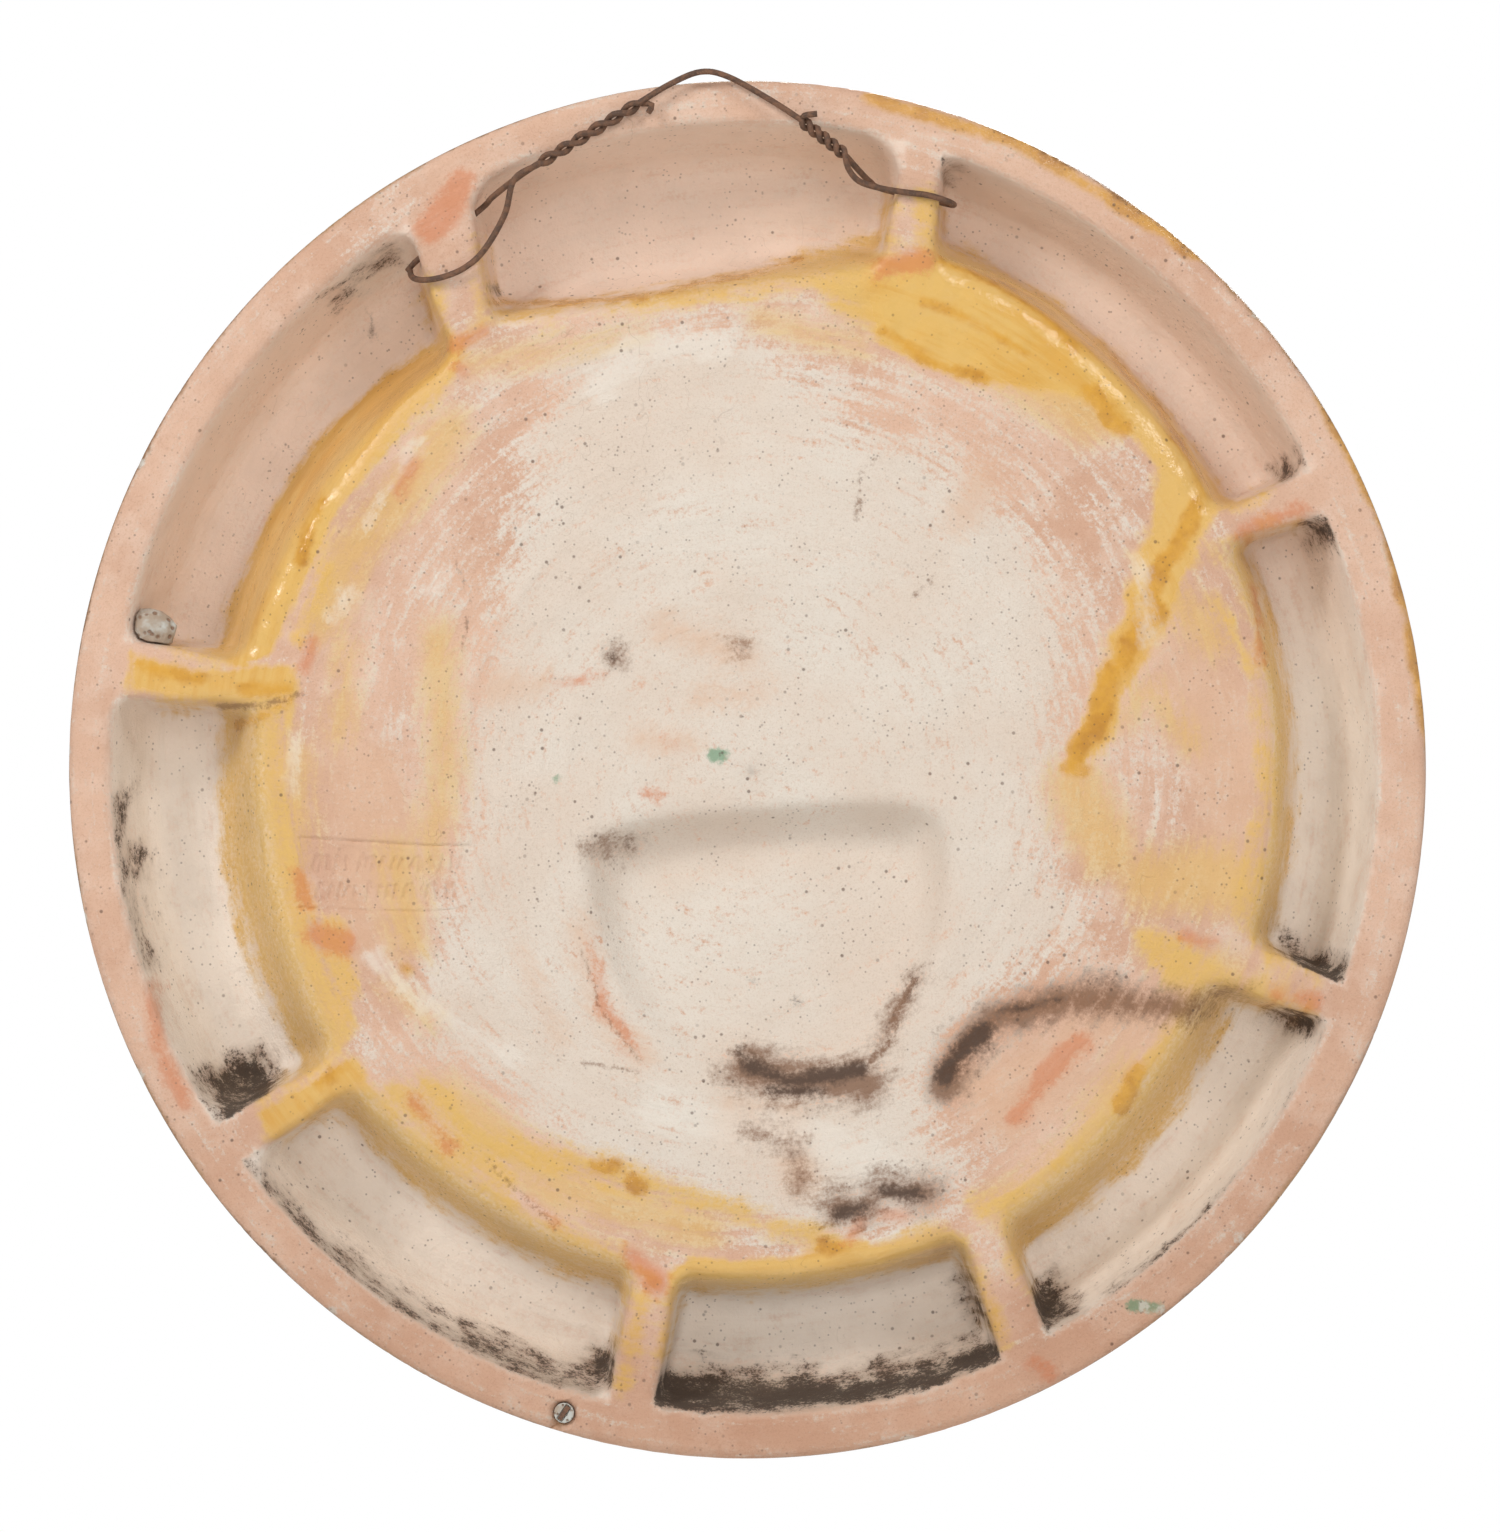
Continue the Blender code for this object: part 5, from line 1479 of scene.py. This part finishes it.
class PLAQUE_OT_dab(bpy.types.Operator):
    """Makes the pitted dab of plaster in the corner of a pocket"""
    bl_idname = "plaque.dab"
    bl_label = "Plaster dab"

    def execute(self, context):
        sizes, colours = context.scene.plaque_sizes, context.scene.plaque_colours
        thing = refined("plaster_dab", "dab", sizes.dab_skin, 4, plaster_material(colours, pits=330.0))
        low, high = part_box("plaster_dab")
        middle = np.array((low + high) / 2)
        places = places_of(thing)
        draw = np.random.default_rng(23)
        for _ in range(DAB_PITS):
            way = draw.normal(size=3)
            pit = middle + way / np.linalg.norm(way) * np.array(high - low) * 0.45
            near = np.exp(-((places - pit) ** 2).sum(1) / draw.uniform(0.0006, 0.0014) ** 2)
            places += (middle - places) * near[:, None] * draw.uniform(0.03, 0.10)
        put_places(thing, places)
        smooth_shading(thing, 80.0)
        return {"FINISHED"}


def soft_light(name, place, size, power, gleams):
    """A square light that looks at the plaque's centre. Without gleams, glossy surfaces don't show it."""
    deselect()
    bpy.ops.object.light_add(type="AREA", location=place)
    light = bpy.context.object
    light.name = name
    light.data.shape = "RECTANGLE"
    light.data.size, light.data.size_y = size, size
    light.data.energy = power
    light.rotation_mode = "QUATERNION"
    light.rotation_quaternion = (Vector(place) - CENTRE).to_track_quat("Z", "Y")
    light.visible_glossy = gleams


class PLAQUE_OT_stage(bpy.types.Operator):
    """Sets the camera as the photograph has it, soft lights, a pale floor and a white surround"""
    bl_idname = "plaque.stage"
    bl_label = "Stage"

    def execute(self, context):
        scene, colours = context.scene, context.scene.plaque_colours
        right = Vector((math.cos(PHOTO_TURN), 0.0, -math.sin(PHOTO_TURN)))
        up = Vector((math.sin(PHOTO_TURN), 0.0, math.cos(PHOTO_TURN)))
        shift_right = (PHOTO_WIDTH / 2 - PHOTO_CENTRE[0]) * PIXEL
        shift_up = (PHOTO_CENTRE[1] - PHOTO_HEIGHT / 2) * PIXEL
        aim = CENTRE + right * shift_right + up * shift_up
        deselect()
        place = aim - Vector((0, CAMERA_DISTANCE, 0))
        bpy.ops.object.camera_add(location=place, rotation=(math.pi / 2, PHOTO_TURN, 0))
        camera = context.object
        camera.name = "camera"
        camera.data.sensor_fit = "HORIZONTAL"
        camera.data.sensor_width = SENSOR
        camera.data.lens = SENSOR * CAMERA_DISTANCE / (PHOTO_WIDTH * PIXEL)
        camera.data.clip_end = 50.0
        scene.camera = camera
        for light in LIGHTS:
            soft_light(*light)
        deselect()
        bpy.ops.mesh.primitive_plane_add(size=1.0)
        floor = context.object
        floor.name = "floor"
        bpy.ops.object.mode_set(mode="EDIT")
        bpy.ops.transform.resize(value=FLOOR_SIZE)
        bpy.ops.transform.translate(value=FLOOR_PLACE)
        bpy.ops.object.mode_set(mode="OBJECT")
        pale = Shader("pale floor")
        worn = pale.rise(pale.noise(6.0), 0.3, 0.7, 0.7, 0.8)
        floor.data.materials.append(pale.finish(colours.floor, worn))
        world = bpy.data.worlds.new("white surround")
        scene.world = world
        world.use_nodes = True
        tree = world.node_tree
        sky = tree.nodes["Background"]
        path = tree.nodes.new("ShaderNodeLightPath")
        share = tree.nodes.new("ShaderNodeMapRange")
        share.inputs["To Min"].default_value = SURROUND_LIGHT
        share.inputs["To Max"].default_value = 1.0
        tree.links.new(path.outputs["Is Camera Ray"], share.inputs["Value"])
        tree.links.new(share.outputs["Result"], sky.inputs["Strength"])
        sky.inputs["Color"].default_value = (1.0, 1.0, 1.0, 1.0)
        scene.view_settings.view_transform = "Standard"
        return {"FINISHED"}


class PLAQUE_PT_panel(bpy.types.Panel):
    """Sizes, colours and steps of the majolica plaque"""
    bl_idname = "PLAQUE_PT_panel"
    bl_label = "Majolica plaque"
    bl_space_type = "VIEW_3D"
    bl_region_type = "UI"
    bl_category = "Plaque"

    def draw(self, context):
        scene = context.scene
        for step in STEPS:
            self.layout.operator(step.bl_idname)
        for group in (scene.plaque_sizes, scene.plaque_colours):
            for name in group.__annotations__:
                self.layout.prop(group, name)


STEPS = (PLAQUE_OT_body, PLAQUE_OT_wire, PLAQUE_OT_plug, PLAQUE_OT_dab, PLAQUE_OT_stage)
CLASSES = (PlaqueSizes, PlaqueColours, *STEPS, PLAQUE_PT_panel)


def register():
    for kind in CLASSES:
        bpy.utils.register_class(kind)
    bpy.types.Scene.plaque_sizes = bpy.props.PointerProperty(type=PlaqueSizes)
    bpy.types.Scene.plaque_colours = bpy.props.PointerProperty(type=PlaqueColours)


def unregister():
    del bpy.types.Scene.plaque_colours
    del bpy.types.Scene.plaque_sizes
    for kind in reversed(CLASSES):
        bpy.utils.unregister_class(kind)


def main():
    register()
    bpy.ops.plaque.body()
    bpy.ops.plaque.wire()
    bpy.ops.plaque.plug()
    bpy.ops.plaque.dab()
    bpy.ops.plaque.stage()


if __name__ == "__main__":
    main()
